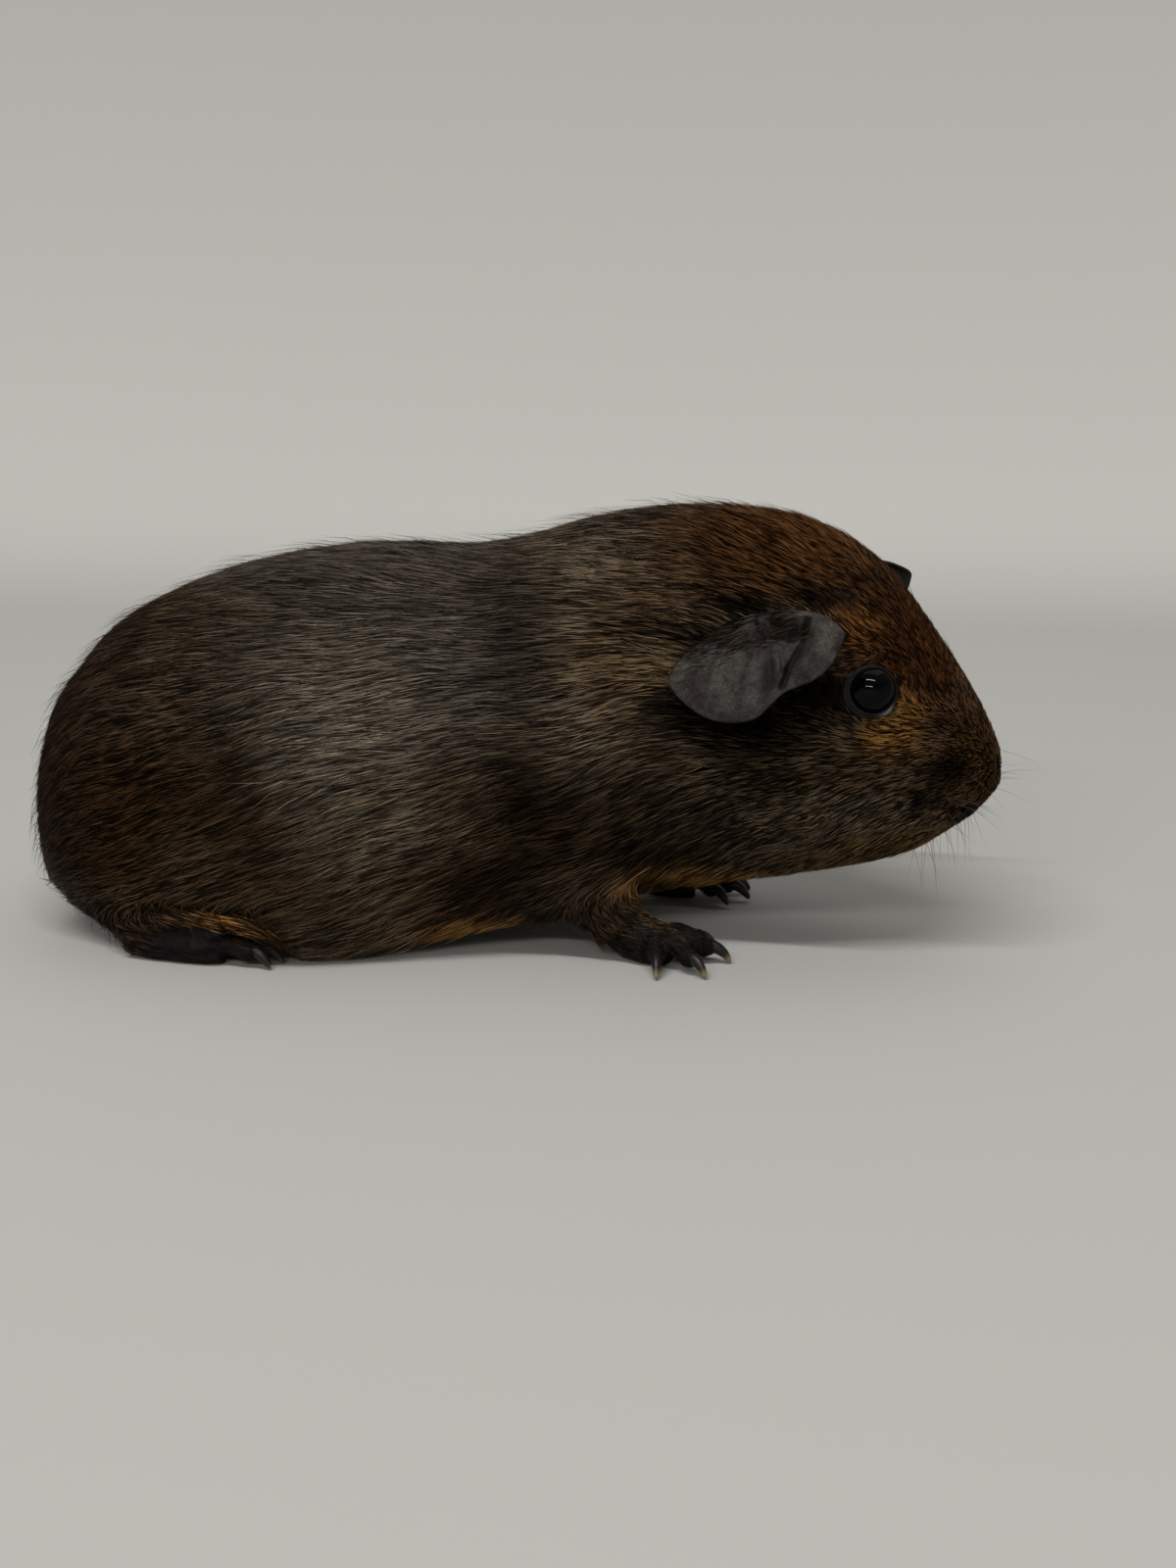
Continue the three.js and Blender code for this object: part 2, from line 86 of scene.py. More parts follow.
def place_camera():
    made = as_object("camera", bpy.data.cameras.new("camera"))
    made.data.lens = CAMERA_LENS
    made.data.sensor_width = CAMERA_SENSOR
    made.data.clip_start = CAMERA_NEAR
    back = towards(CAMERA_AZIMUTH, CAMERA_ELEVATION)
    made.location = CAMERA_AIM + back * CAMERA_DISTANCE
    made.rotation_euler = (-back).to_track_quat("-Z", "Y").to_euler()
    bpy.context.scene.camera = made
    return made


camera = place_camera()
print("camera at", [round(v, 3) for v in camera.location])

# %% [markdown]
# A dark, glossy-haired animal needs soft light with some shape in it. Two long strip lamps hang over
# its right side, and they are what the eye mirrors as two bright bars. A broad lamp above and a little
# behind lays a grey sheen along the back and drops a faint shadow towards the viewer. A fourth lamp is
# turned away from the animal, to lift the wall. A pale world alone would be simpler, but it would show
# neither hair nor form, so it only fills the rest. The floor is one sheet that sweeps up into a low
# wall all round, which leaves no edge in any view.

# %% Lights, world and floor
LAMPS = [  # name, azimuth and elevation in degrees, distance, width and height in metres, watts
    ("strip_high", -10, 60, 2.4, 2.0, 0.07, 40),
    ("strip_low", -9, 30, 2.4, 1.4, 0.05, 17),
    ("overhead", 165, 72, 2.4, 2.4, 1.8, 10),
]
WASH = ("wash", 180, 60, 1.2, 2.6, 1.6, 16)  # turned away from the animal, to lift the wall behind it
WASH_TILT = 80  # degrees from straight down
LAMP_COLOUR = (1.0, 0.985, 0.955)
WORLD_LIGHT = {"Color": (0.60, 0.60, 0.575, 1), "Strength": 0.46}
FLOOR_FINISH = {"Base Color": (0.42, 0.415, 0.398, 1), "Roughness": 0.8, "Specular IOR Level": 0.2}
FLOOR_FLAT = 0.9  # metres of level floor all round
FLOOR_BEND = 2.0
FLOOR_BEND_STEPS = 24
FLOOR_SIDES = 96
WALL_TOP = 2.1


def place_lamp(name, azimuth, elevation, distance, width, height, watts):
    made = as_object(name, bpy.data.lights.new(name, "AREA"))
    made.data.shape = "RECTANGLE"
    made.data.size = width
    made.data.size_y = height
    made.data.energy = watts
    made.data.color = LAMP_COLOUR
    away = towards(math.radians(azimuth), math.radians(elevation))
    made.location = CAMERA_AIM + away * distance
    made.rotation_euler = away.to_track_quat("Z", "Y").to_euler()
    return made


def set_plain(node, values):
    """Gives a node's own sockets plain values, which hold all over the surface."""
    for name, value in values.items():
        node.inputs[name].default_value = value


def new_material(name, finish):
    """A material with the plain values of its finish; its node tree and its shader come with it."""
    made = bpy.data.materials.new(name)
    made.use_nodes = True
    shader = made.node_tree.nodes["Principled BSDF"]
    set_plain(shader, finish)
    return made, made.node_tree, shader


def circle(count):
    """The turns of this many points spaced evenly round a circle, in radians."""
    return np.arange(count) * 2 * math.pi / count


def written(whole, name):
    """A new mesh from a bmesh, which is Blender's form of a mesh for editing."""
    mesh = bpy.data.meshes.new(name)
    whole.to_mesh(mesh)
    whole.free()
    return mesh


def lay_floor():
    """A round floor that sweeps up all round into a low wall."""
    bends = np.linspace(0, math.pi / 2, FLOOR_BEND_STEPS)
    section = [(FLOOR_FLAT + FLOOR_BEND * math.sin(a), FLOOR_BEND * (1 - math.cos(a))) for a in bends]
    section.append((FLOOR_FLAT + FLOOR_BEND, WALL_TOP))
    whole = bmesh.new()
    rings = [
        [whole.verts.new((reach * math.cos(a), reach * math.sin(a), height)) for a in circle(FLOOR_SIDES)]
        for reach, height in section
    ]
    whole.faces.new(rings[0])
    for inner, outer in zip(rings, rings[1:]):
        for i in range(FLOOR_SIDES):
            j = (i + 1) % FLOOR_SIDES
            whole.faces.new((inner[i], outer[i], outer[j], inner[j])).smooth = True
    made = as_object("floor", written(whole, "floor"))
    made.data.materials.append(new_material("pale floor", FLOOR_FINISH)[0])


for lamp in LAMPS:
    place_lamp(*lamp)
wash = place_lamp(*WASH)
wash.rotation_euler = (math.radians(WASH_TILT), 0, 0)
world = bpy.data.worlds.new("studio")
bpy.context.scene.world = world
world.use_nodes = True
set_plain(world.node_tree.nodes["Background"], WORLD_LIGHT)
lay_floor()
bpy.context.scene.view_settings.view_transform = "Standard"
print("lamps:", [lamp[0] for lamp in LAMPS], "and", WASH[0])

# %% [markdown]
# The head is turned a little to the animal's right, so places on it are easier to give in its own
# frame: forward to the nose, left and up, in millimetres from the point midway between the eyes. The
# two eye solids tell where that frame is.

# %% Frame of the head
def middle_of(node):
    low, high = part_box(node)
    return (low + high) / 2


EYE_AT = {side: middle_of(f"eye_{side}") for side in ("right", "left")}
EYE_RADIUS = (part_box("eye_right")[1].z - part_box("eye_right")[0].z) / 2
HEAD_MIDDLE = (EYE_AT["right"] + EYE_AT["left"]) / 2
HEAD_LEFT = (EYE_AT["left"] - EYE_AT["right"]).normalized()
HEAD_FORWARD = HEAD_LEFT.cross(Vector((0, 0, 1)))
HEAD_AXES = np.array([HEAD_FORWARD, HEAD_LEFT, (0, 0, 1)])
SIDES = {"right": -1, "left": 1}
HEAD_BEGINS = -36  # in millimetres ahead of the eyes' middle; hair from here forward is the head's


def in_head(places):
    """Points of the frame as millimetres forward, left and up in the head's own frame."""
    return (np.asarray(places) - np.array(HEAD_MIDDLE)) @ HEAD_AXES.T / MM


def on_left(places):
    """The same, with the right half of the head folded over onto the left."""
    local = in_head(places)
    local[:, 1] = np.abs(local[:, 1])
    return local


def from_head(places):
    """Points given in the head's own frame as points of the whole frame."""
    return np.asarray(places, float) * MM @ HEAD_AXES + np.array(HEAD_MIDDLE)


def smooth_step(low, high, value):
    """0 up to low and 1 from high on, eased in between; with low above high it falls instead."""
    share = np.clip((value - low) / (high - low), 0, 1)
    return share * share * (3 - 2 * share)


def within(*steps):
    """Smooth steps, each as low, high and value, multiplied: 1 where all of them are 1."""
    return math.prod(smooth_step(*step) for step in steps)


def unit(vectors):
    """The vectors made one long."""
    return vectors / np.maximum(np.linalg.norm(vectors, axis=-1, keepdims=True), 1e-12)


def nearest(places, stops):
    """The distance from each place to the nearest of the stops."""
    return np.min([np.linalg.norm(places - np.array(stop), axis=1) for stop in stops], axis=0)


head_turn = math.degrees(HEAD_FORWARD.angle((1, 0, 0)))
print("eyes", round(EYE_RADIUS / MM, 2), "mm in radius, head turned", round(head_turn, 1), "degrees")

# %% [markdown]
# Under the coat the whole animal is one skin. The frame's solids are parted by thin cuts, so they are
# gathered, swollen by a hair's breadth until the cuts close, and wrapped again as one surface of small
# voxels. Another way would be to loft the body afresh, but the wrap keeps every swell of the frame and
# joins the limbs for nothing.

# %% Wrap the flesh in one surface
WRAP_VOXEL = 0.55 * MM
CUT_CLOSING = 0.3 * MM
SAME_POINT = 0.005 * MM  # points nearer to each other than this become one
flesh = [name for name in nodes if not name.startswith(("claw", "ear", "eye"))]
wrapped = [*flesh, "eye_right", "eye_left"]  # the eyes stop up their sockets


def read_array(items, field, width, kind=np.float32):
    """A value of every item of a mesh, such as each point's place, read at once as rows of numbers."""
    flat = np.empty(len(items) * width, kind)
    items.foreach_get(field, flat)
    return flat.reshape(-1, width)


def read_points(mesh):
    return read_array(mesh.vertices, "co", 3).astype(float)


def read_normals(mesh):
    return read_array(mesh.vertex_normals, "vector", 3).astype(float)


def edge_ends(mesh):
    """The indexes of every edge's two points, as two rows."""
    return read_array(mesh.edges, "vertices", 2, np.int32).T


def write_points(mesh, places):
    mesh.vertices.foreach_set("co", np.asarray(places, np.float32).ravel())
    mesh.update()


@contextmanager
def edited(mesh):
    """Opens a mesh for editing and writes it back afterwards."""
    whole = bmesh.new()
    whole.from_mesh(mesh)
    yield whole
    whole.to_mesh(mesh)
    whole.free()


def take_in(whole, mesh):
    """Adds a mesh to an open one and removes it."""
    whole.from_mesh(mesh)
    bpy.data.meshes.remove(mesh)


def gathered(names, growth=0.0):
    """The named solids as one mesh, each swollen along its normals."""
    whole = bmesh.new()
    for name in names:
        one = bmesh.new()
        one.from_mesh(nodes[name].data)
        bmesh.ops.remove_doubles(one, verts=one.verts, dist=SAME_POINT)
        one.normal_update()
        for vertex in one.verts:
            vertex.co += vertex.normal * growth
        take_in(whole, written(one, "one"))
    return written(whole, "gathered")


def through_modifier(mesh, kind, weights=None, **settings):
    """The mesh as one modifier leaves it, with an optional weight for each point."""
    holder = as_object("holder", mesh)
    modifier = holder.modifiers.new("step", kind)
    if weights is not None:
        group = holder.vertex_groups.new(name="weights")
        for index, weight in enumerate(weights):
            group.add((index,), float(weight), "REPLACE")
        modifier.vertex_group = "weights"
    for name, value in settings.items():
        setattr(modifier, name, value)
    seen = holder.evaluated_get(bpy.context.evaluated_depsgraph_get())
    made = bpy.data.meshes.new_from_object(seen)
    bpy.data.objects.remove(holder)
    bpy.data.meshes.remove(mesh)
    return made


def drop_inner_shells(mesh):
    """Keeps only the outermost shell, the one with the highest point, and counts the points it drops."""
    a, b = edge_ends(mesh)
    shell = np.arange(len(mesh.vertices))
    while True:
        low = np.minimum(shell[a], shell[b])
        spread = shell.copy()
        np.minimum.at(spread, a, low)
        np.minimum.at(spread, b, low)
        spread = spread[spread]
        if (spread == shell).all():
            break
        shell = spread
    outer = shell[np.argmax(read_points(mesh)[:, 2])]
    with edited(mesh) as whole:
        strays = [vertex for vertex, own in zip(whole.verts, shell) if own != outer]
        bmesh.ops.delete(whole, geom=strays, context="VERTS")
    return len(strays)


skin_mesh = through_modifier(gathered(wrapped, CUT_CLOSING), "REMESH", mode="VOXEL", voxel_size=WRAP_VOXEL)
dropped = drop_inner_shells(skin_mesh)
print("wrap:", len(skin_mesh.vertices), "points,", dropped, "dropped from hidden shells")

# %% [markdown]
# The wrap still shows the flat facets of the solids. Averaging each point with its neighbours, again
# and again, rounds them off as a wet sponge does to clay. The feet get more rounds, since no coat hides
# them. In between, the trunk's mesh is thinned, while face and feet keep every point.

# %% Round off the facets and thin the mesh
SKIN_SHARE = 0.17  # of the wrap's triangles that are kept
ROUNDS_FIRST = 16
ROUNDS_FEET = 30
ROUNDS_LAST = 18
THINNING_PULL = 1.6  # how strongly the weights steer the thinning
FOOT_REACH = (0.5 * MM, 3.5 * MM)  # from a foot's solid: all foot up to the first, no foot from the second
FEET_BELOW = 22 * MM
MUZZLE_STEP = (6, 14)  # millimetres ahead of the eyes' middle
LID_STEP = (9, 13)  # millimetres from an eye's centre
FACE_STEP = (-30, -10)


def tree_of(mesh):
    """A search tree of a mesh's faces, which quickly finds the nearest one."""
    whole = bmesh.new()
    whole.from_mesh(mesh)
    tree = BVHTree.FromBMesh(whole)
    whole.free()
    return tree


def distances(tree, places, reach):
    """How far each place is from the tree's surface, at most reach."""
    found = (tree.find_nearest(place, reach)[3] for place in places)
    return np.array([reach if gap is None else gap for gap in found])


def relaxed(mesh, places, weights, rounds, spring=-0.53):
    """The places after rounds of averaging with their neighbours, as far as each one's weight lets it. Every
    round in is followed by a round out by the spring, which keeps the volume."""
    a, b = edge_ends(mesh)
    count = len(places)
    valence = np.maximum(np.bincount(a, minlength=count) + np.bincount(b, minlength=count), 1)
    for step in [0.5, spring] * rounds:
        pulls = [
            np.bincount(a, places[b, axis], count) + np.bincount(b, places[a, axis], count)
            for axis in range(3)
        ]
        mean = np.stack(pulls, axis=1) / valence[:, None]
        places = places + (mean - places) * step * weights[:, None]
    return places


foot_tree = tree_of(gathered([name for name in nodes if "foot" in name]))


def footness(places):
    """1 on the feet and 0 from a few millimetres away."""
    low = places[:, 2] < FEET_BELOW
    share = np.zeros(len(places))
    share[low] = 1 - smooth_step(*FOOT_REACH, distances(foot_tree, places[low], FOOT_REACH[1]))
    return share


def nearest_eye(places):
    """Distance in millimetres to the nearer eye's centre."""
    return nearest(places, EYE_AT.values()) / MM


def detail(places):
    """1 where the mesh stays fine: feet, lids and muzzle, and about half that on the rest of the face."""
    forward = in_head(places)[:, 0]
    muzzle = smooth_step(*MUZZLE_STEP, forward)
    lids = 1 - smooth_step(*LID_STEP, nearest_eye(places))
    return np.maximum.reduce([footness(places), muzzle, lids, 0.6 * smooth_step(*FACE_STEP, forward)])


places = relaxed(skin_mesh, read_points(skin_mesh), np.ones(len(skin_mesh.vertices)), ROUNDS_FIRST)
write_points(skin_mesh, relaxed(skin_mesh, places, footness(places), ROUNDS_FEET))
skin_mesh = through_modifier(
    skin_mesh, "DECIMATE", weights=1 - detail(read_points(skin_mesh)), ratio=SKIN_SHARE,
    vertex_group_factor=THINNING_PULL, use_collapse_triangulate=True,
)
places = read_points(skin_mesh)
write_points(skin_mesh, relaxed(skin_mesh, places, 1 - 0.8 * footness(places), ROUNDS_LAST))
print("thinned:", len(skin_mesh.vertices), "points,", len(skin_mesh.polygons), "faces")

# %% [markdown]
# The solids' surface is the tips of the hair, so the skin lies deeper by the depth of the coat. That
# depth is a few millimetres on the trunk, less on cheek and brow, a breath on the muzzle and almost
# nothing on the feet.

# %% Sink the skin by the depth of the coat
# In millimetres.
COAT_DEPTH = {"trunk": 2.3, "nape": 2.2, "cheek": 1.5, "muzzle": 0.8, "lid": 0.45, "foot": 0.2}
# Hair bridges the dip behind the shoulders: where along the body, how far, and how much deeper it is there.
SADDLE_AT, SADDLE_REACH, SADDLE_DEEPER = -6, 12, 1.6


def coat_depth(places):
    """Depth of the coat at each place, in metres."""
    forward = in_head(places)[:, 0]
    depth = COAT_DEPTH["trunk"] + (COAT_DEPTH["nape"] - COAT_DEPTH["trunk"]) * smooth_step(-60, -40, forward)
    depth += (COAT_DEPTH["cheek"] - COAT_DEPTH["nape"]) * smooth_step(-36, -4, forward)
    depth += (COAT_DEPTH["muzzle"] - COAT_DEPTH["cheek"]) * smooth_step(0, 24, forward)
    depth += (COAT_DEPTH["lid"] - depth) * (1 - smooth_step(7.5, 15, nearest_eye(places)))
    depth += (COAT_DEPTH["foot"] - depth) * footness(places)
    return depth * MM


places = read_points(skin_mesh)
normals = read_normals(skin_mesh)
from_saddle = (places[:, 0] / MM - SADDLE_AT) / SADDLE_REACH
saddle = SADDLE_DEEPER * MM * np.exp(-(from_saddle**2)) * np.maximum(normals[:, 2], 0)
places = places - normals * (coat_depth(places) + saddle)[:, None]
write_points(skin_mesh, relaxed(skin_mesh, places, 0.6 * (1 - footness(places)), 3))
print("skin sunk by", COAT_DEPTH["trunk"], "mm on the trunk and", COAT_DEPTH["muzzle"], "mm on the muzzle")

# %% [markdown]
# A guinea pig's eye stands out of the head, and two dark bare lids hold it in a round opening that runs
# to a small point at the front. The wrap went over the eyeball as a dome. So each point of that dome is
# moved along its own ray from the eye's centre: inside the opening it drops behind the eyeball, at the
# edge it touches the ball, and just outside it rises into the rolled rim of the lid, which then fades
# into the skin of the head.

# %% Cut the mesh finer round the eyes and on the muzzle
def cut_finer(mesh, chosen):
    """Halves every edge whose ends the function picks."""
    picked = chosen(read_points(mesh))
    with edited(mesh) as whole:
        edges = [edge for edge in whole.edges if all(picked[end.index] for end in edge.verts)]
        bmesh.ops.subdivide_edges(whole, edges=edges, cuts=1, use_grid_fill=True)
        bmesh.ops.triangulate(whole, faces=whole.faces)


def near_eye_or_nose(places):
    return (nearest_eye(places) < 9.5) | (in_head(places)[:, 0] > 17)


EYE_FACES = (0.22, 1, 0.1)  # forward, outward and up: the way an eye faces, in the head's frame
EYE_AXES = {}  # outwards, forwards and upwards at each eye
for side, sign in SIDES.items():
    outwards = unit(from_head(np.array(EYE_FACES) * (1, sign, 1)) - from_head((0, 0, 0)))
    upwards = unit(np.array((0, 0, 1.0)) - outwards * outwards[2])
    forwards = np.cross(upwards, outwards) * sign * -1
    EYE_AXES[side] = np.array([outwards, forwards, upwards])


def round_eye(places, side):
    """Each place seen from an eye's centre: distance in mm, angle from the axis, turn round it in degrees."""
    from_centre = (places - np.array(EYE_AT[side])) / MM
    distance = np.linalg.norm(from_centre, axis=1)
    out, forward, up = (from_centre / np.maximum(distance, 1e-9)[:, None] @ EYE_AXES[side].T).T
    return distance, np.degrees(np.arccos(np.clip(out, -1, 1))), np.degrees(np.arctan2(up, forward))


def on_lid(places):
    found = np.zeros(len(places), bool)
    for side in SIDES:
        distance, angle, _ = round_eye(places, side)
        found |= (distance < 9) & (angle > 54) & (angle < 84)
    return found


cut_finer(skin_mesh, near_eye_or_nose)
cut_finer(skin_mesh, on_lid)
print("finer:", len(skin_mesh.vertices), "points")

# %% Open the lids
LID_OPENING = 65  # degrees from the eye's axis to the lid's edge
LID_CORNERS = [(-50, 16, 17), (168, 26, 4)]  # inner and outer: turn, width and extra opening in degrees
EYE_BALL = EYE_RADIUS / MM
LID_PROFILE = [(-9, -0.9), (-0.6, -0.9), (0, 0.1), (0.3, 0.42), (0.75, 0.66), (1.3, 0.6), (1.9, 0.35)]
LID_FADES = (1.0, 2.8)


def turned_apart(turn, at):
    return np.abs((turn - at + 180) % 360 - 180)


def lid_edge(turn):
    """The angle from the eye's axis at which the lid's edge lies."""
    extra = sum(more * np.exp(-((turned_apart(turn, at) / width) ** 2)) for at, width, more in LID_CORNERS)
    return LID_OPENING + extra


def past_lid(distance, angle, turn):
    """How far outside the lid's edge a place lies, in millimetres square to the eye's axis."""
    across = distance * np.sin(np.radians(np.minimum(angle, 90)))
    return across - EYE_BALL * np.sin(np.radians(lid_edge(turn)))


def with_lids(places):
    for side in SIDES:
        distance, angle, turn = round_eye(places, side)
        past = past_lid(distance, angle, turn)
        lid = EYE_BALL + np.interp(past, *zip(*LID_PROFILE))
        share = 1 - smooth_step(*LID_FADES, past)
        share[(distance > 12) | (angle > 104)] = 0
        wanted = distance + (lid - distance) * share
        centre = np.array(EYE_AT[side])
        places = centre + (places - centre) * (wanted / np.maximum(distance, 1e-9))[:, None]
    return places


write_points(skin_mesh, with_lids(read_points(skin_mesh)))
print("lids open", LID_OPENING, "degrees from the eye's axis")

# %% [markdown]
# The muzzle is blunt and slopes back under the nose. Its details are small: a comma-shaped nostril on
# each side, a groove from the nose down the split lip, and the short line of the mouth. Each is a row
# of soft dents pressed along a few points, which is how a sculptor would draw them with a ball-ended
# tool.

# %% Press in the nostrils, the lip and the mouth
# Each dent: points in the head's frame for the left side, radius and depth in millimetres.
DENTS = {
    "nostril": ([(22.6, 6.6, -31.2), (23.2, 8.4, -29.8), (22.4, 11.0, -28.4)], 1.05, 3.0),
    "wing of the nostril": ([(25.0, 7.6, -27.2), (23.4, 10.4, -26.0)], 1.3, -0.5),
    "groove of the lip": ([(27.6, 0, -27.6), (24.0, 0, -31.6), (20.6, 0, -34.8)], 0.85, 0.9),
    "mouth": ([(20.2, 0.4, -34.6), (18.4, 4.6, -34.8), (15.0, 8.6, -36.2)], 0.8, 1.8),
    "split of the mouth": ([(20.8, 0, -34.2), (19.2, 3.5, -34.4)], 1.4, 2.0),
    "lower lip": ([(16.5, 0, -38.2)], 2.4, -0.6),
    "bed of the ear": ([(-25, 27, 16), (-19, 26, 18), (-10, 25, 18)], 4.2, 2.4),
}
DENT_STEPS = 9


def dented(places, normals):
    local = on_left(places)
    depth = np.zeros(len(places))
    for line, radius, deep in DENTS.values():
        line = np.array(line, float)
        shares = np.linspace(0, len(line) - 1, DENT_STEPS if len(line) > 1 else 1)
        stops = np.stack([np.interp(shares, range(len(line)), values) for values in line.T], axis=1)
        depth += deep * np.exp(-((nearest(local, stops) / radius) ** 2))
    return places - normals * depth[:, None] * MM


write_points(skin_mesh, dented(read_points(skin_mesh), read_normals(skin_mesh)))
print("pressed in:", ", ".join(DENTS))

# %% [markdown]
# The ear is a thin bare petal: a short front lobe, a broad hanging rear lobe, and between them a notch
# from which folds run up to the ear's root. It could be sculpted from the frame's solid, but a surface
# built from its rim and its root gives thin edges and folds that go where they should. Both ears are
# then joined to the skin.

# %% Build the ears
# The rim of the left ear in the head's frame, from the front corner down round the notch and the rear lobe.
EAR_RIM = np.array([
    (-4.3, 31, 16.5), (-4, 32.5, 13.5), (-6, 34, 9), (-9.5, 35, 5.5), (-13.5, 35, 3.5), (-16.5, 34.8, 2),
    (-19, 36, -0.7), (-22, 37.5, -3.7), (-26.5, 38.5, -5), (-32.5, 39, -4.6), (-38.5, 38.5, -1.7),
    (-43, 37, 3), (-41, 33.5, 8), (-36.5, 30.5, 12), (-31.5, 28, 15.5), (-26.5, 26, 17.8), (-19.5, 25.5, 19),
    (-11, 27, 19),
])
EAR_ROOT_AT = np.array((-16.8, 24.4, 12.4))
EAR_CARRIAGE = {"right": (0, 0, 0), "left": (2.6, -0.6, 4.4)}  # the left is held higher and further forward
EAR_OUTWARDS = unit(np.array((0.1, 0.93, 0.35)))
EAR_BOW = 2.3
EAR_THICKNESS = (0.75, 6.5)  # at the rim and at the root, in millimetres
# Folds: from and to, as forward and up in the head's frame, then width and height in millimetres.
EAR_FOLDS = {
    "crease to the notch": ((-13.0, 17.0), (-17.0, 3.0), 0.8, -2.2),
    "roll of the front lobe": ((-9.0, 17.5), (-13.0, 6.5), 2.8, 1.5),
    "floor of the middle": ((-19.5, 17.0), (-18.0, 8.5), 2.4, 0.9),
    "fold over the hollow": ((-24.5, 16.0), (-19.2, 6.0), 1.0, 1.5),
    "small raised fold": ((-19.6, 10.2), (-17.3, 6.2), 0.8, 1.6),
    "dip under the folds": ((-20.8, 6.6), (-20.2, 2.8), 1.9, -1.0),
    "front line of the rear lobe": ((-25.5, 10.0), (-26.5, -2.5), 0.6, -0.45),
    "rear line of the rear lobe": ((-33.5, 9.0), (-34.8, -2.5), 0.6, -0.5),
    "swell of the rear lobe": ((-30.0, 6.0), (-30.5, -1.0), 3.2, 0.7),
}
EAR_AROUND = 216
EAR_OUT = 40


def closed_curve(points, shares):
    """A smooth closed curve through the points, at shares of the way round."""
    count = len(points)
    at = np.asarray(shares) % 1 * count
    first = np.floor(at).astype(int)
    t = (at - first)[:, None]
    before, start, end, after = (points[(first + k) % count] for k in (-1, 0, 1, 2))
    bend = 2 * before - 5 * start + 4 * end - after
    turn = 3 * (start - end) + after - before
    return start + 0.5 * t * (end - before + t * (bend + t * turn))


def nearness(places, begins, ends, width):
    """1 on a fold's line, fading away over its width; the places are forward and up in the head's frame."""
    line = np.subtract(ends, begins)
    from_start = places - begins
    share = np.clip(from_start @ line / (line @ line), 0, 1)
    apart = np.linalg.norm(from_start - share[:, None] * line, axis=1) / width
    return np.exp(-(apart**2))


def ear_sheet(turn, out):
    """The left ear's outer face at shares of the way round and from root to rim, in the head's frame."""
    rim = closed_curve(EAR_RIM, turn)
    height = EAR_BOW * np.sin(np.pi * out**1.3) - 1.2 * np.exp(-((out / 0.22) ** 2))
    flat = EAR_ROOT_AT + (rim - EAR_ROOT_AT) * out[:, None]
    for *fold, high in EAR_FOLDS.values():
        height = height + high * nearness(flat[:, [0, 2]], *fold) * (1 - 0.6 * smooth_step(0.8, 1, out))
    return flat + EAR_OUTWARDS * height[:, None]


def ear_crease_shade(places):
    """1 in the ears' creases and hollows, for the shade painted there."""
    local = in_head(places)[:, [0, 2]]
    share = sum(nearness(local, *fold) * max(0, -high) for *fold, high in EAR_FOLDS.values())
    return np.minimum(share, 1)


def lathe(rings, name, in_strips=False):
    """A closed surface through rings of points, with a single point at each end. Its faces are listed ring
    by ring, or else in strips from end to end."""
    sides = len(rings[1])
    pairs = [(i, (i + 1) % sides) for i in range(sides)]
    starts = [1 + row * sides for row in range(len(rings) - 2)]
    last = starts[-1] + sides
    rows = [[(0, 1 + i, 1 + j) for i, j in pairs]]
    rows += [[(a + i, b + i, b + j, a + j) for i, j in pairs] for a, b in zip(starts, starts[1:])]
    rows.append([(starts[-1] + i, last, starts[-1] + j) for i, j in pairs])
    faces = [face for row in (zip(*rows) if in_strips else rows) for face in row]
    mesh = bpy.data.meshes.new(name)
    mesh.from_pydata(np.concatenate(rings).tolist(), [], faces)
    with edited(mesh) as whole:
        bmesh.ops.recalc_face_normals(whole, faces=whole.faces)
    mesh.shade_smooth()
    return mesh


def ear_mesh(side):
    turn = np.arange(EAR_AROUND) / EAR_AROUND
    outs = np.linspace(0, 1, EAR_OUT + 1)[1:]
    outer = [ear_sheet(turn, np.full(EAR_AROUND, out)) for out in outs]
    rim_thick, root_thick = EAR_THICKNESS
    thicks = [rim_thick + (root_thick - rim_thick) * max(0.0, 1 - out / 0.5) ** 2 for out in outs]
    inner = [ring - EAR_OUTWARDS * thick for ring, thick in zip(outer, thicks)]
    edge = (outer[-1] + inner[-1]) / 2 + unit(outer[-1] - outer[-2]) * rim_thick * 0.4
    root = ear_sheet(np.zeros(1), np.zeros(1))
    rings = [root, *outer, edge, *reversed(inner), root - EAR_OUTWARDS * root_thick]
    placed = [from_head((ring + np.array(EAR_CARRIAGE[side])) * (1, SIDES[side], 1)) for ring in rings]
    mesh = lathe(placed, f"ear_{side}", in_strips=True)
    with edited(mesh) as whole:
        bmesh.ops.triangulate(whole, faces=whole.faces)
    return mesh


ears = {side: ear_mesh(side) for side in SIDES}
ear_trees = {side: tree_of(mesh) for side, mesh in ears.items()}
print("ears:", [len(mesh.polygons) for mesh in ears.values()], "faces")

# %% Join the ears to the skin
JUNCTION_REACH = 1.6 * MM
EARS_WITHIN = ((-55, 18, -12), (10, 99, 32))  # a box round the left ear in the head's frame


def united(mesh, other):
    """Two closed meshes joined into one."""
    cutter = as_object("cutter", other)
    made = through_modifier(mesh, "BOOLEAN", operation="UNION", solver="MANIFOLD", object=cutter)
    bpy.data.objects.remove(cutter)
    return made


head_tree = tree_of(skin_mesh)
for side in SIDES:
    skin_mesh = united(skin_mesh, ears[side])
print("skin with ears:", len(skin_mesh.vertices), "points,", len(skin_mesh.polygons), "faces")


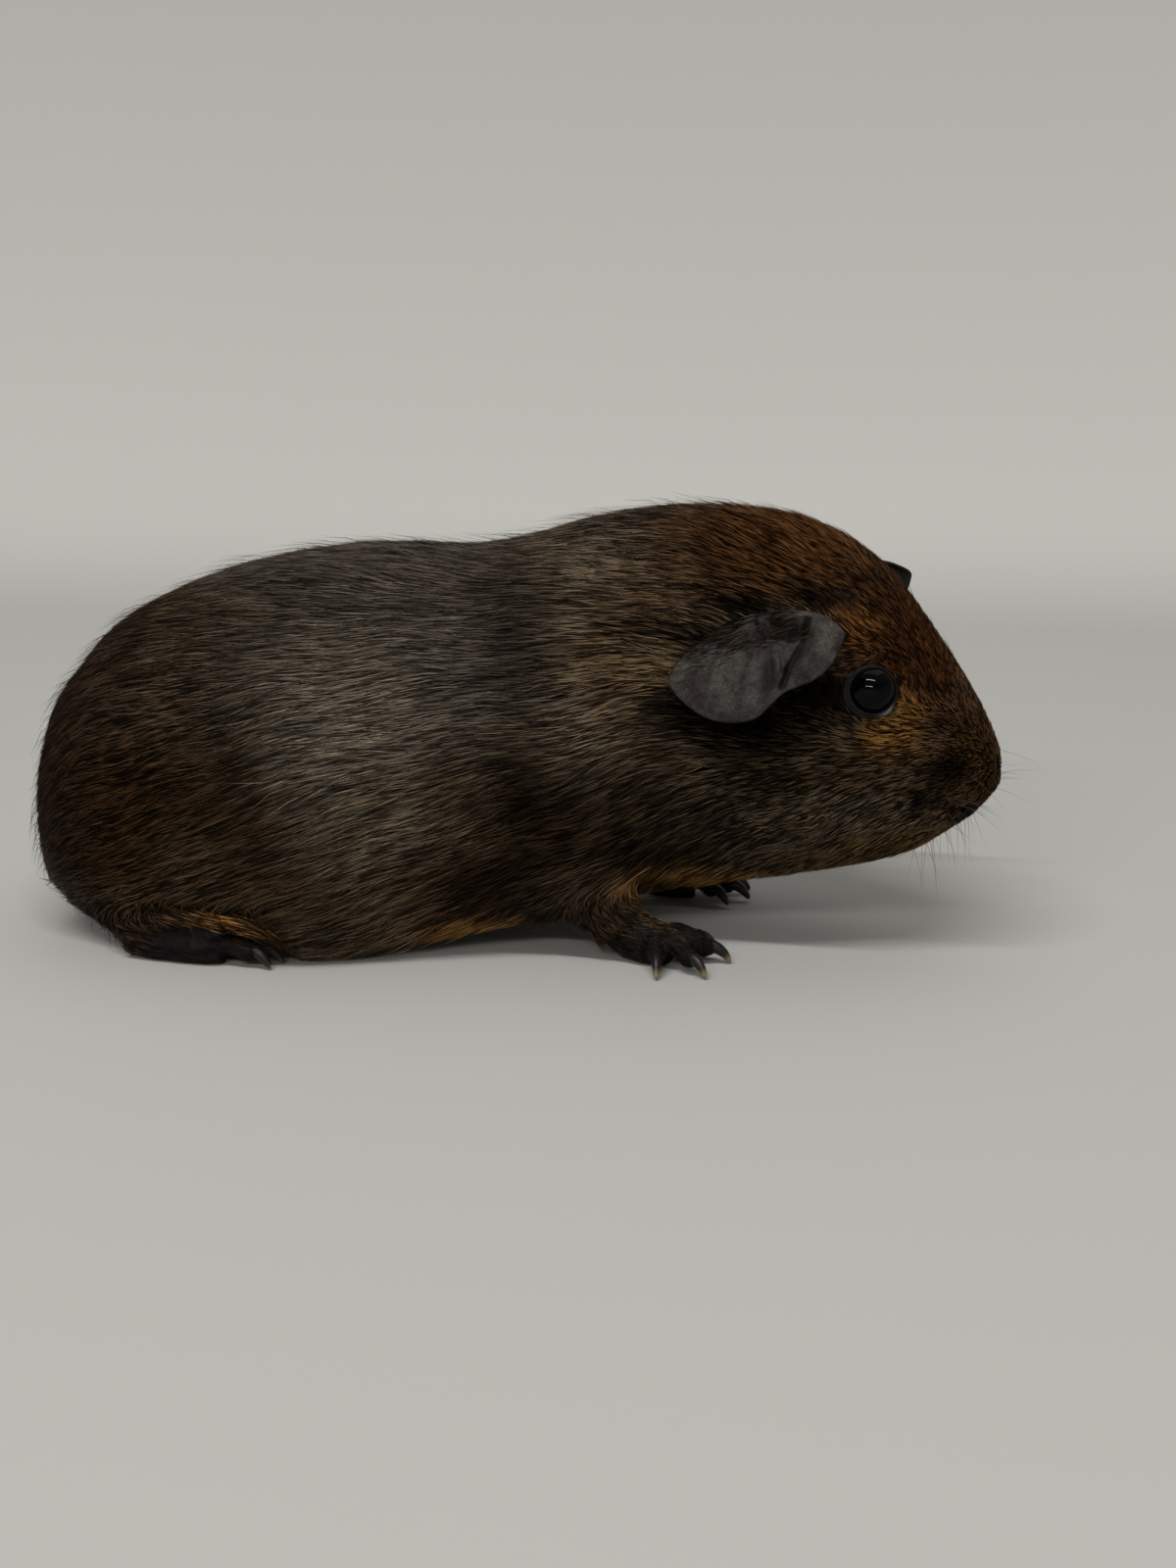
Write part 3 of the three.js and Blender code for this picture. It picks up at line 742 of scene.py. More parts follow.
def earness(places, reach):
    """1 on the ears and 0 from this reach away."""
    share = np.zeros(len(places))
    local = on_left(places)
    near = (local > EARS_WITHIN[0]).all(axis=1) & (local < EARS_WITHIN[1]).all(axis=1)
    for tree in ear_trees.values():
        gaps = distances(tree, places[near], reach)
        share[near] = np.maximum(share[near], 1 - smooth_step(0.02 * MM, reach, gaps))
    return share


places = read_points(skin_mesh)
by_ear = earness(places, 2 * MM)
by_head = np.zeros(len(places))
touching = by_ear > 0
to_head = distances(head_tree, places[touching], JUNCTION_REACH)
by_head[touching] = 1 - smooth_step(0, JUNCTION_REACH, to_head)
write_points(skin_mesh, relaxed(skin_mesh, places, by_ear * by_head, 5, spring=-0.1))

# %% [markdown]
# The eye is a ball of its own behind the lids, a little fuller in front where the cornea stands out. It
# is built from rings about its own axis, so that the dark iris and the grey edge of the white are rings
# too.

# %% Build the eyes
EYE_RINGS = 48
EYE_SIDES = 72
CORNEA_RISE = 0.035  # how far the cornea stands out, as a share of the ball's radius
CORNEA_REACH = 38  # degrees from the eye's axis
GAZE_FORWARD = 0.10  # the dark of the eye turns forward by this share, which bares a sliver of white behind


def ring_round(one, other, sides):
    """Points on a circle, given two of its directions, square to each other."""
    turns = circle(sides)
    return np.cos(turns)[:, None] * one + np.sin(turns)[:, None] * other


def give_attribute(mesh, name, values, kind="FLOAT"):
    """Stores a number or a vector for each point, which a material can read by name."""
    field = "vector" if kind == "FLOAT_VECTOR" else "value"
    made = mesh.attributes.new(name, kind, "POINT")
    made.data.foreach_set(field, np.asarray(values, np.float32).ravel())


def eye_piece(side):
    outwards, forwards, upwards = EYE_AXES[side]
    centre = np.array(EYE_AT[side])
    round_axis = ring_round(forwards, upwards, EYE_SIDES)
    rings = []
    for angle in np.linspace(0, np.pi, EYE_RINGS):
        reach = EYE_RADIUS * (1 + CORNEA_RISE * math.exp(-((math.degrees(angle) / CORNEA_REACH) ** 2)))
        ring = centre + reach * (math.cos(angle) * outwards + math.sin(angle) * round_axis)
        rings.append(ring if 0 < angle < np.pi else ring[:1])
    mesh = lathe(rings, f"eye_{side}")
    gaze = unit(outwards + GAZE_FORWARD * HEAD_AXES[0])
    facing = unit(read_points(mesh) - EYE_AT[side])
    give_attribute(mesh, "from_gaze", np.degrees(np.arccos(np.clip(facing @ gaze, -1, 1))))
    return as_object(f"eyeball_{side}", mesh)


eyes = {side: eye_piece(side) for side in SIDES}
print("eyes:", [len(eye.data.polygons) for eye in eyes.values()], "faces")

# %% [markdown]
# The claws are horn: nearly black where they leave the toe and amber at the worn tip. Each follows its
# solid in the frame from the highest end, in the toe, to the lowest, on the floor, as a curved cone
# that is deeper than wide. A claw that merely stuck out of the foot would look pinned on. So a sleeve
# of skin is built on the same curve round the claw's root and joined to the foot, which gives each toe
# its end.

# %% The curve of a claw
CLAW_SIDES = 14
CLAW_STEPS = 16
CLAW_ROOM = {"fore": 1.85, "hind": 1.9}  # root radius in millimetres
CLAW_BURIED = 2.0 * MM
CLAW_HUMP = 0.22  # how far the curve stands above its chord, as a share of its length
CLAW_NARROWER = 0.86  # its width as a share of its height
LESS_WORN_AND_SHADED = 0.86  # all but the right fore claws stay dark nearly to the tip; on the far fore foot that is painted shade
TIP_HEIGHT = 0.55 * MM
OVER_FLOOR = 0.12 * MM
claw_names = [name for name in nodes if name.startswith("claw")]


def limb_of(node):
    return "fore" if "fore" in node else "hind"


def claw_line(node):
    """A claw's root, tip and heading."""
    points = read_points(nodes[node].data)
    root = points[points[:, 2] > points[:, 2].max() - 0.8 * MM].mean(axis=0)
    tip = points[np.argsort(points[:, 2])[:3]].mean(axis=0)
    heading = unit((tip - root) * (1, 1, 0))
    tip = tip + heading * 0.5 * MM
    tip[2] = TIP_HEIGHT
    return root - heading * CLAW_BURIED, tip, heading


def bent_rod(node, stations, sides, flatness):
    """Rings round a claw's curve, at (share of its length, radius) stations; the ends close to points."""
    root, tip, heading = claw_line(node)
    length = np.linalg.norm(tip - root)
    across = np.array((-heading[1], heading[0], 0))
    upright = np.array((0, 0, 1))
    turns = circle(sides)
    rings = []
    for share, radius in stations:
        rise = CLAW_HUMP * 4 * share * (1 - share) if share > 0 else CLAW_HUMP * share
        middle = root + (tip - root) * share + upright * rise * length
        slope = (tip - root) / length + upright * CLAW_HUMP * 4 * (1 - 2 * max(share, 0.2))
        above = unit(np.cross(unit(slope), across)) * -1
        sideways = flatness * np.cos(turns)[:, None] * across
        ring = middle + radius * (sideways + np.sin(turns)[:, None] * above)
        ring[:, 2] = np.maximum(ring[:, 2], OVER_FLOOR)
        rings.append(ring)
    return [rings[0].mean(axis=0)[None], *rings[1:-1], rings[-1].mean(axis=0)[None]]


def claw_piece(node):
    shares = np.linspace(0, 1, CLAW_STEPS)
    room = CLAW_ROOM[limb_of(node)] * MM
    radii = room * (1 - shares**5) ** 0.5 * (1 - 0.42 * shares) * np.minimum(1, 0.45 + 3 * shares)
    rings = bent_rod(node, list(zip(shares, radii)), CLAW_SIDES, CLAW_NARROWER)
    mesh = lathe(rings, node)
    # The far and hind claws keep less amber, on the far fore foot as painted shade.
    worn_and_shaded = 1.0 if "fore_right" in node else LESS_WORN_AND_SHADED
    alongs = [np.full(len(ring), share * worn_and_shaded) for ring, share in zip(rings, shares)]
    give_attribute(mesh, "along", np.concatenate(alongs))
    return as_object(node.replace("claw_", "horn_"), mesh)


claws = {name: claw_piece(name) for name in claw_names}
print("claws:", len(claws))

# %% Grow the toes' skin round the claws
# Share of the claw's length, and radius of the skin in millimetres.
SLEEVES = {
    "fore": [(-0.55, 1.7), (-0.35, 2.4), (0.0, 2.45), (0.25, 2.25), (0.45, 1.95), (0.52, 1.2)],
    "hind": [(-0.55, 1.8), (-0.35, 2.7), (0.0, 2.7), (0.25, 2.4), (0.52, 2.0), (0.60, 1.2)],
}
SLEEVE_SIDES = 20
SLEEVE_NARROWER = 0.85
TOES_BELOW = 14 * MM
TOE_REACH = (0.4 * MM, 1.6 * MM)  # from a sleeve: full smoothing up to the first, none from the second


def sleeve(node):
    stations = [(share, radius * MM) for share, radius in SLEEVES[limb_of(node)]]
    return lathe(bent_rod(node, stations, SLEEVE_SIDES, SLEEVE_NARROWER), f"sleeve_{node}")


sleeves = bmesh.new()
for name in claw_names:
    take_in(sleeves, sleeve(name))
bmesh.ops.triangulate(sleeves, faces=sleeves.faces)
sleeve_mesh = written(sleeves, "sleeves")
sleeve_tree = tree_of(sleeve_mesh)
skin_mesh = united(skin_mesh, sleeve_mesh)
places = read_points(skin_mesh)
round_toes = np.zeros(len(places))
low = places[:, 2] < TOES_BELOW
round_toes[low] = 1 - smooth_step(*TOE_REACH, distances(sleeve_tree, places[low], TOE_REACH[1]))
places = relaxed(skin_mesh, places, 0.8 * round_toes, 6, spring=-0.1)
places[:, 2] = np.maximum(places[:, 2], 0)  # the soles stay on the floor
write_points(skin_mesh, places)
print("toes smoothed at", int((round_toes > 0).sum()), "points")

# %% [markdown]
# Each kind of skin takes its own finish: hairy skin under the coat, bare ears, leathery feet, dark lids
# and the small bare nose. Masks painted on the skin's points tell the finish where it is. The skin also
# gets a flat map, called OFBake, made from its own shape, on which every tuft of the coat will later
# find its place.

# %% Paint the masks and unwrap the skin
# The bare skin of the nose, as points in the head's frame for the left side, and its reach round them.
NOSE_PAD = [
    (22.8, 7.0, -31.0), (23.2, 8.8, -29.6), (22.4, 11.2, -28.2),  # round the nostril
    (19.4, 5.0, -34.0),  # over the mouth
    (24.2, 5.0, -30.4), (25.4, 3.0, -29.6), (26.4, 1.2, -29.0),  # across to the middle
    (27.0, 0.0, -28.4), (25.6, 0.0, -29.9), (24.2, 0.0, -31.4), (22.8, 0.0, -32.9), (21.5, 0.0, -34.2),
]
NOSE_PAD_REACH = 1.9


def lid_share(places):
    """1 on the bare rims of the lids and inside the opening."""
    share = np.zeros(len(places))
    for side in SIDES:
        distance, angle, turn = round_eye(places, side)
        rim = 1 - smooth_step(0.35, 0.85, past_lid(distance, angle, turn))
        share = np.maximum(share, np.where((distance < 9) & (angle < 100), rim, 0))
    return share


def tear_share(places):
    """1 at the pale inner corner of the eye."""
    share = np.zeros(len(places))
    for side in SIDES:
        distance, angle, turn = round_eye(places, side)
        edge = np.exp(-(((past_lid(distance, angle, turn) - 0.25) / 0.4) ** 2))
        corner = edge * np.exp(-((turned_apart(turn, LID_CORNERS[0][0]) / 15) ** 2))
        share = np.maximum(share, np.where(distance < 8, corner, 0))
    return share


def nose_share(places):
    """1 on the bare skin of the nose and lips."""
    gaps = nearest(on_left(places), NOSE_PAD)
    return 1 - smooth_step(0.5 * NOSE_PAD_REACH, NOSE_PAD_REACH, gaps)


def ear_share(places):
    return earness(places, 0.9 * MM)


# The crease mask carries painted shade into the ears' creases and hollows.
MASKS = {
    "ear": ear_share, "crease": ear_crease_shade, "foot": footness,
    "lid": lid_share, "tear": tear_share, "nose": nose_share,
}
skin = as_object("skin", skin_mesh)
skin_mesh.shade_smooth()
places = read_points(skin_mesh)
for name, mask in MASKS.items():
    give_attribute(skin_mesh, name, mask(places))
bpy.context.view_layer.objects.active = skin
skin.select_set(True)
skin_mesh.uv_layers.new(name="OFBake")
bpy.ops.object.mode_set(mode="EDIT")
bpy.ops.mesh.select_all(action="SELECT")
bpy.ops.uv.smart_project(angle_limit=math.radians(66), island_margin=0.002)
bpy.ops.object.mode_set(mode="OBJECT")
print("skin:", len(skin_mesh.vertices), "points,", len(skin_mesh.polygons), "faces")
print("masks:", ", ".join(MASKS))

# %% [markdown]
# The coat is short, sleek and dense. Each tuft is a solid spindle a few hairs wide, rooted in the skin,
# and its tip ends at the frame's surface. What makes a coat look right is the way it lies, so that
# comes first: back from the nose over face and trunk, parting round the eyes and ears, down the haunch
# and the rump, down the fore legs, and forward over the feet.

# %% The lie of the coat
PARTING = np.array((37.0, 0, -20.0))  # the face's hair seems to stream from this point ahead of the nose
EYE_PARTING = 7.2
CHEEK_FALL = 0.30
EAR_STALK = (-14.5, 27.0, 13.0)
EAR_PARTING = 8.0


def blended(first, second, share):
    return first + (second - first) * np.asarray(share)[:, None]


def arrows(forward, left, up):
    """One direction for each place from its three parts; a single number stands for all the places."""
    return np.stack(np.broadcast_arrays(forward, left, up), axis=1)


def round_post(flow, places, post, radius):
    """The flow parted by a round post, as a stream is."""
    away = places - post
    distance = np.maximum(np.linalg.norm(away, axis=1, keepdims=True), radius)
    away = away / distance
    along = (flow * away).sum(axis=1, keepdims=True)
    return flow - (radius / distance) ** 2 * (2 * along * away - flow)


def swirl(places, reach, seed):
    """Smooth noise from -1 to 1 that changes over about reach millimetres."""
    draw = np.random.default_rng(seed)
    total = np.zeros(len(places))
    for _ in range(6):
        way = unit(draw.normal(size=3)) * 2 * np.pi / (reach * draw.uniform(0.7, 1.5))
        total += np.sin(places @ way / MM + draw.uniform(0, 2 * np.pi))
    return total / 3


def lie_of_head(local):
    """The direction in which the head's hair lies, parted round eye and ear."""
    stream = local - PARTING
    for side, sign in SIDES.items():
        parted = round_post(unit(stream), local, in_head(np.array(EYE_AT[side])), EYE_PARTING)
        parted = round_post(parted, local, np.array(EAR_STALK) * (1, sign, 1), EAR_PARTING)
        stream = np.where((np.sign(local[:, 1]) == sign)[:, None], parted, stream)
    stream = unit(stream)
    stream[:, 2] -= CHEEK_FALL * within((-6, -30, local[:, 2]), (24, 6, local[:, 0]))
    return unit(stream) @ HEAD_AXES


def lie(places):
    """The direction in which the coat lies at each place, not yet laid on the skin."""
    x, y, z = (places / MM).T
    aside = np.abs(y)
    local = in_head(places)
    fall = 0.10 + 0.19 * smooth_step(88, 45, z)
    fall = fall + 0.14 * smooth_step(-25, -70, x) * smooth_step(85, 40, z)
    fall = fall + 0.5 * smooth_step(-95, -117, x)
    fall = fall * (1 - 0.35 * smooth_step(34, 10, z))
    flow = arrows(-1.0, 0.0, -fall)
    leg = within((24, 11, z), (-6, 8, x), (56, 42, x), (8, 18, aside))
    down = arrows(-0.9 + 1.9 * smooth_step(8, 26, x), 0.1 * np.sign(y), -0.62)
    flow = blended(flow, unit(down), 0.9 * leg)
    heel = within((17, 8, z), (-82, -90, x), (24, 34, aside))
    flow = blended(flow, (-0.15, 0, -1.0), heel)
    over_foot = within((19, 13, z), (-90, -82, x), (-48, -58, x), (24, 34, aside))
    flow = blended(flow, arrows(1.0, 0.1 * np.sign(y), -0.30), over_foot)
    flow = blended(unit(flow), lie_of_head(local), smooth_step(-52, -30, local[:, 0]))
    toes = arrows(1.0, 0.25 * np.sign(y), -0.35)
    return unit(blended(flow, unit(toes), footness(places)))


def laid(flow, normals):
    """The flow laid down on the skin."""
    return unit(flow - (flow * normals).sum(axis=1, keepdims=True) * normals)


print("coat lies back from", PARTING.tolist(), "mm ahead of the eyes")

# %% [markdown]
# Length, width, depth and number of tufts all follow from where a tuft grows. The face has the
# shortest, finest and most crowded hair, the trunk the longest, and the feet only a scatter. The haunch
# is a little shorter and coarser, the dark hollows round the ear's root are thinly haired, and the fur
# over the hind heel hides it. Ears, lids and nose stay bare. These could be painted by hand as weights,
# but a formula of the place is easier to change.

# %% How the coat grows at each place
TUFTS = {"body": 170_000, "head": 64_000, "guard": 5_600, "ear": 1_400}
# Length and width in mm and tufts for each square millimetre (only their proportions count).
GROWTH = {
    "trunk": (13.5, 0.225, 3.0), "haunch": (9.8, 0.29, 3.0), "nape": (10.5, 0.28, 3.2),
    "cheek": (7.0, 0.32, 5.0), "brow": (5.0, 0.29, 6.0), "muzzle": (2.9, 0.25, 10.0),
    "leg": (4.6, 0.24, 5.5), "foot": (3.2, 0.13, 2.4), "belly": (9.0, 0.40, 1.0),
}
# Thinly haired hollows round the ear: middle in the head's frame for the left side, and reach, in mm.
HOLLOWS = [((-21.0, 25.5, 19.0), 3.4), ((-8.5, 23.0, 19.5), 3.4), ((-35.0, 30.5, 10.0), 3.8)]


def growth(places, normals):
    """Length and width in metres, and crowding, for each place."""
    x, y, z = (places / MM).T
    local = on_left(places)
    ahead, _, up = local.T
    foot = footness(places)
    heel = smooth_step(-83, -89, x)  # the hind heel is hidden in the rump's fur
    shares = {
        "haunch": within((-52, -76, x), (84, 62, z)),
        "nape": smooth_step(-75, -45, ahead),
        "cheek": smooth_step(-42, -14, ahead),
        "brow": within((-14, 6, up), (-24, -4, ahead)),
        "muzzle": smooth_step(4, 22, ahead),
        "leg": within((24, 12, z), (0, 12, x), (60, 50, x), (10, 20, np.abs(y))),
        "belly": within((-0.7, -0.92, normals[:, 2]), (14, 7, z)),
        "foot": foot * (1 - heel),
    }
    made = np.tile(GROWTH["trunk"], (len(places), 1)).astype(float)
    for name, share in shares.items():
        made = blended(made, np.array(GROWTH[name]), share)
    length, width, crowding = made.T.copy()
    length *= 1 - 0.4 * heel * smooth_step(20, 10, z)
    hollow = np.min([np.linalg.norm(local - middle, axis=1) / reach for middle, reach in HOLLOWS], axis=0)
    length *= 1 - 0.55 * smooth_step(2.0, 1.0, hollow)
    crowding *= 1 - 0.85 * smooth_step(1.15, 0.8, hollow)
    by_eye = 1 - smooth_step(7.5, 12.5, nearest_eye(places))
    length *= 1 - 0.5 * by_eye
    width *= 1 - 0.25 * by_eye
    hind = foot * smooth_step(-30, -40, x) * (1 - heel)
    bare = np.maximum.reduce([earness(places, 0.25 * MM), lid_share(places), nose_share(places), 0.8 * hind])
    return length * MM, width * MM, crowding * (1 - bare)


print("hair from", GROWTH["muzzle"][0], "mm on the muzzle to", GROWTH["trunk"][0], "mm on the trunk")

# %% Sow the roots


def corners_of(mesh):
    """Every triangle's three points and its three places on the mesh's map, as indexes."""
    mesh.calc_loop_triangles()
    return (read_array(mesh.loop_triangles, field, 3, np.int32) for field in ("vertices", "loops"))


corners, loops = corners_of(skin_mesh)
skin_points = read_points(skin_mesh)
skin_normals = read_normals(skin_mesh)
skin_map = read_array(skin_mesh.uv_layers["OFBake"].data, "uv", 2)[loops]
face_points = skin_points[corners]
face_middles = face_points.mean(axis=1)
face_normals = unit(skin_normals[corners].mean(axis=1))
one_side, other_side = face_points[:, 1] - face_points[:, 0], face_points[:, 2] - face_points[:, 0]
face_areas = np.linalg.norm(np.cross(one_side, other_side), axis=1) / 2
crowding = growth(face_middles, face_normals)[2]
face_on_head = in_head(face_middles)[:, 0] > HEAD_BEGINS
skin_tree = BVHTree.FromPolygons([Vector(p) for p in skin_points], corners.tolist())
print("skin area", round(face_areas.sum() / MM**2), "square mm")


def sow(count, crowd, seed):
    """Roots spread over the faces as the crowd says: place, normal and place on the skin's map."""
    draw = np.random.default_rng(seed)
    weight = np.cumsum(face_areas * crowd)
    faces = np.searchsorted(weight, (np.arange(count) + draw.random(count)) / count * weight[-1])
    faces = np.minimum(faces, len(weight) - 1)
    a, b = draw.random((2, count, 1))
    a, b = np.where(a + b > 1, 1 - a, a), np.where(a + b > 1, 1 - b, b)
    roots, normals, flat = (
        values[:, 0] * (1 - a - b) + values[:, 1] * a + values[:, 2] * b
        for values in (face_points[faces], skin_normals[corners[faces]], skin_map[faces])
    )
    return roots, unit(normals), flat


def snapped(places):
    """The nearest points on the skin and its normals there."""
    near, faces = np.empty_like(places), np.empty(len(places), np.int32)
    for i, place in enumerate(places.tolist()):
        spot, _, face, _ = skin_tree.find_nearest(place)
        near[i] = spot
        faces[i] = face
    return near, face_normals[faces]


# %% [markdown]
# Every tuft bends once, half way, so that it follows the curve of the back or the brow. It is found in
# two steps over the skin: from the root to the nearest skin half a length on, and from there to the
# nearest another half on. Neighbouring tips are drawn a little towards a common one, which breaks the
# coat into fine locks, and every lock and every tuft gets a shade of its own. Blender's own hair would
# comb more easily, but it is not a solid mesh.

# %% Grow the tufts
FLOOR_GAP = 0.35 * MM
LOCK_SIZE = 9  # tufts that share a lock, about
LOCK_PULL = 0.28
LOW_AND_HIGH = (0.35, 1.2)  # a tuft's tip lies between these shares of the coat's depth
MIDDLE_LIFT = 0.66  # how high its middle lies, as a share of its tip's height
TIP_RISE = 0.02  # how much higher a long tuft's tip lies, as a share of its length
LOOSER = (0.7, 1.2)  # the shares by which lengths differ
WIDER = (0.7, 1.3)
SWAY_TOGETHER = np.radians(7)  # how far tufts turn from the lie of the coat with their neighbours
SWAY_REACH = 26  # over how many millimetres that changes
SWAY_ALONE = np.radians(5)
TINT_STRAYS = 0.14  # hairs mingle over a marking's edge by about this share of their length
# A tuft's shade: how much a lock and a tuft differ, how much lighter a high tuft is (painted shade: a
# low tuft is darker, as if under the others), and patches 7 mm wide.
LOCK_SHADE, TUFT_SHADE, PAINTED_LAYER_SHADE = 0.05, 0.18, 0.35
PATCH_REACH = 7


def locks(places, seed):
    """For each place the index of the lock it belongs to."""
    draw = np.random.default_rng(seed)
    heads = draw.choice(len(places), len(places) // LOCK_SIZE, replace=False)
    tree = kdtree.KDTree(len(heads))
    for i, head in enumerate(heads):
        tree.insert(places[head], i)
    tree.balance()
    return heads[[tree.find(place)[1] for place in places]]


def variety(places):
    """How much the shade changes from hair to hair: least on the back, most on the haunch, nape and jaw.
    The light hairs are partly the coat's own ticking and partly painted sheen of single hairs.
    """
    x, _, z = (places / MM).T
    ahead = in_head(places)[:, 0]
    haunch = within((-50, -72, x), (84, 62, z))
    nape = within((0, 22, x), (50, 66, z), (-20, -40, ahead))
    low = smooth_step(46, 34, z)
    face = smooth_step(-44, -26, ahead)
    return 1 + np.maximum.reduce([2.4 * haunch, 0.9 * nape, 1.1 * low, (1.4 + 1.5 * low) * face])


def grown(count, crowd, seed, longer=1.0, wider=1.0, higher=1.0, lying=lie):
    """Tufts as a dictionary of arrays, one row for each tuft."""
    draw = np.random.default_rng(seed + 1)
    roots, normals, flat = sow(count, crowd, seed)
    length, width, _ = growth(roots, normals)
    length = length * draw.uniform(*LOOSER, count) * longer
    width = width * draw.uniform(*WIDER, count) * wider
    sway = SWAY_TOGETHER * swirl(roots, SWAY_REACH, 5) + SWAY_ALONE * draw.normal(size=count)
    high = draw.uniform(*LOW_AND_HIGH, count)
    lift = coat_depth(roots) * high * higher

    def step_from(places, normals):
        """The nearest skin half a length on, and its normal."""
        flow = laid(lying(places), normals)
        across = np.cross(normals, flow)
        way = flow * np.cos(sway)[:, None] + across * np.sin(sway)[:, None]
        return snapped(places + way * length[:, None] * 0.5)

    middles, middle_normals = step_from(roots, normals)
    ends, end_normals = step_from(middles, middle_normals)
    middles = middles + middle_normals * (lift * MIDDLE_LIFT)[:, None]
    tips = ends + end_normals * (lift + TIP_RISE * length)[:, None]
    lock = locks(roots, seed + 2)
    tips = tips + (tips[lock] - tips) * LOCK_PULL
    across = unit(np.cross(middle_normals, tips - roots))
    varied = variety(roots)
    patchy = (0.10 * varied - 0.07) * swirl(roots, PATCH_REACH, seed + 3)
    own = LOCK_SHADE * draw.normal(size=count)[lock] + TUFT_SHADE * draw.normal(size=count)
    shade = 0.5 + patchy + varied * own
    tint_at = roots + draw.normal(size=(count, 3)) * (TINT_STRAYS * length)[:, None]
    # A high tuft is lighter and a low one darker: painted shade within the coat.
    shade = np.clip(shade + PAINTED_LAYER_SHADE * (high - np.mean(LOW_AND_HIGH)), 0, 1)
    return {
        "roots": roots, "normals": normals, "flat": flat, "width": width,
        "middles": middles, "middle_normals": middle_normals, "across": across, "tips": tips,
        "shade": shade, "tint_at": tint_at,
    }


def chosen(tufts, keep):
    return {name: values[keep] for name, values in tufts.items()}


def cleared(tufts):
    """Drops the tufts that would come up through an ear, or lie over a nostril or an eye."""
    local = in_head(tufts["roots"])
    # only a tuft rooted within this box can reach an ear
    near = (local[:, 0] > -55) & (local[:, 0] < 6) & (local[:, 2] > -14) & (np.abs(local[:, 1]) > 16)
    keep = np.ones(len(local), bool)
    for i in np.flatnonzero(near):
        root = Vector(tufts["roots"][i] + tufts["normals"][i] * 0.05 * MM)
        reach = Vector(tufts["tips"][i]) - root
        tree = ear_trees["right" if local[i, 1] < 0 else "left"]
        keep[i] = tree.ray_cast(root, reach, reach.length)[0] is None
    keep &= np.maximum(nose_share(tufts["tips"]), nose_share(tufts["middles"])) < 0.3
    keep &= lid_share(tufts["tips"]) < 0.6
    return chosen(tufts, keep)


def over_ear(places):
    """The few hairs on an ear lie back and down across it."""
    return np.tile((-0.93, 0, -0.36), (len(places), 1))


def joined(*crops):
    return {name: np.concatenate([crop[name] for crop in crops]) for name in crops[0]}


ear_faces = earness(face_middles, 0.1 * MM)
ahead, left, up = in_head(face_middles).T
outer_face = (face_normals @ HEAD_AXES.T)[:, 1] * np.sign(left) > 0.2
upper_edge = within((3, 12, up - 0.35 * (ahead + 40)), (-8, -16, ahead))
ear_crowd = ear_faces * outer_face * upper_edge
underneath = face_normals[:, 2] < -0.85
guard_crowd = crowding * ~underneath * smooth_step(8, 20, nearest_eye(face_middles)) / (1 + crowding)
tufts = joined(
    cleared(grown(TUFTS["body"], crowding * ~face_on_head, 11)),
    cleared(grown(TUFTS["head"], crowding * face_on_head, 23, higher=1.3)),
    cleared(grown(TUFTS["guard"], guard_crowd, 31, longer=1.35, wider=0.6, higher=2.1)),
    grown(TUFTS["ear"], ear_crowd, 37, longer=0.8, wider=0.5, higher=0.4, lying=over_ear),
)
print("tufts:", len(tufts["roots"]))

# %% [markdown]
# Each tuft becomes a spindle of five points and six triangles, the least that bends and closes: a root
# under the skin, a ring of three half way and a tip. A rounder one would cost more and show no better
# at this size. The coat is parted into twelve pieces along the body, so that no piece is too heavy to
# handle. On the map a tuft takes a small patch where its root is, so that a bake of the coat finds it
# beside its own bit of skin.

# %% Make the coat's meshes
SPINDLE = np.array([(0, 1, 2), (0, 2, 3), (0, 3, 1), (4, 2, 1), (4, 3, 2), (4, 1, 3)])
ALONG = (0, 0.5, 0.5, 0.5, 1)  # the share of a tuft's length at each of its five points
PATCH_CORNERS = np.array([(0, -0.5), (-0.5, 0), (0.5, 0), (0, 0), (0, 0.5)])
MAP_PATCH = 0.003  # the size of a tuft's patch, as a share of the map
ROOT_BURIED = 0.25 * MM
# The coat's pieces: name, from where to where along the body in mm, and whether on the head.
PIECES = [
    ("rump", -200, -68, False), ("loin", -68, -24, False), ("shoulder", -24, 20, False),
    ("neck", 20, 200, False), ("cheek", -200, -6, True), ("face", -6, 200, True),
]


def coat_piece(name, tufts):
    """One mesh of tufts, written straight into its arrays, which is the only quick way for so many."""
    half = (tufts["width"] / 2)[:, None]
    middles, across = tufts["middles"], tufts["across"] * half
    ring = [middles - across, middles + across, middles + tufts["middle_normals"] * half]
    points = np.stack([tufts["roots"] - tufts["normals"] * ROOT_BURIED, *ring, tufts["tips"]], axis=1)
    count, each = points.shape[:2]
    points[:, :, 2] = np.maximum(points[:, :, 2], FLOOR_GAP)
    index = (SPINDLE[None] + np.arange(count)[:, None, None] * each).reshape(-1)
    mesh = bpy.data.meshes.new(name)
    mesh.vertices.add(count * each)
    mesh.loops.add(len(index))
    mesh.loops.foreach_set("vertex_index", index.astype(np.int32))
    mesh.polygons.add(len(index) // 3)
    mesh.polygons.foreach_set("loop_start", np.arange(0, len(index), 3, dtype=np.int32))
    mesh.polygons.foreach_set("use_smooth", np.ones(len(index) // 3, bool))
    mesh.vertices.foreach_set("co", points.astype(np.float32).ravel())
    mesh.update(calc_edges=True)
    flat = (tufts["flat"][:, None] + PATCH_CORNERS * MAP_PATCH).reshape(-1, 2)[index]
    mesh.uv_layers.new(name="OFBake").data.foreach_set("uv", flat.astype(np.float32).ravel())
    give_attribute(mesh, "tint_at", np.repeat(tufts["tint_at"], each, axis=0), "FLOAT_VECTOR")
    give_attribute(mesh, "shade", np.repeat(tufts["shade"], each))
    give_attribute(mesh, "along", np.tile(ALONG, count))
    return as_object(name, mesh)


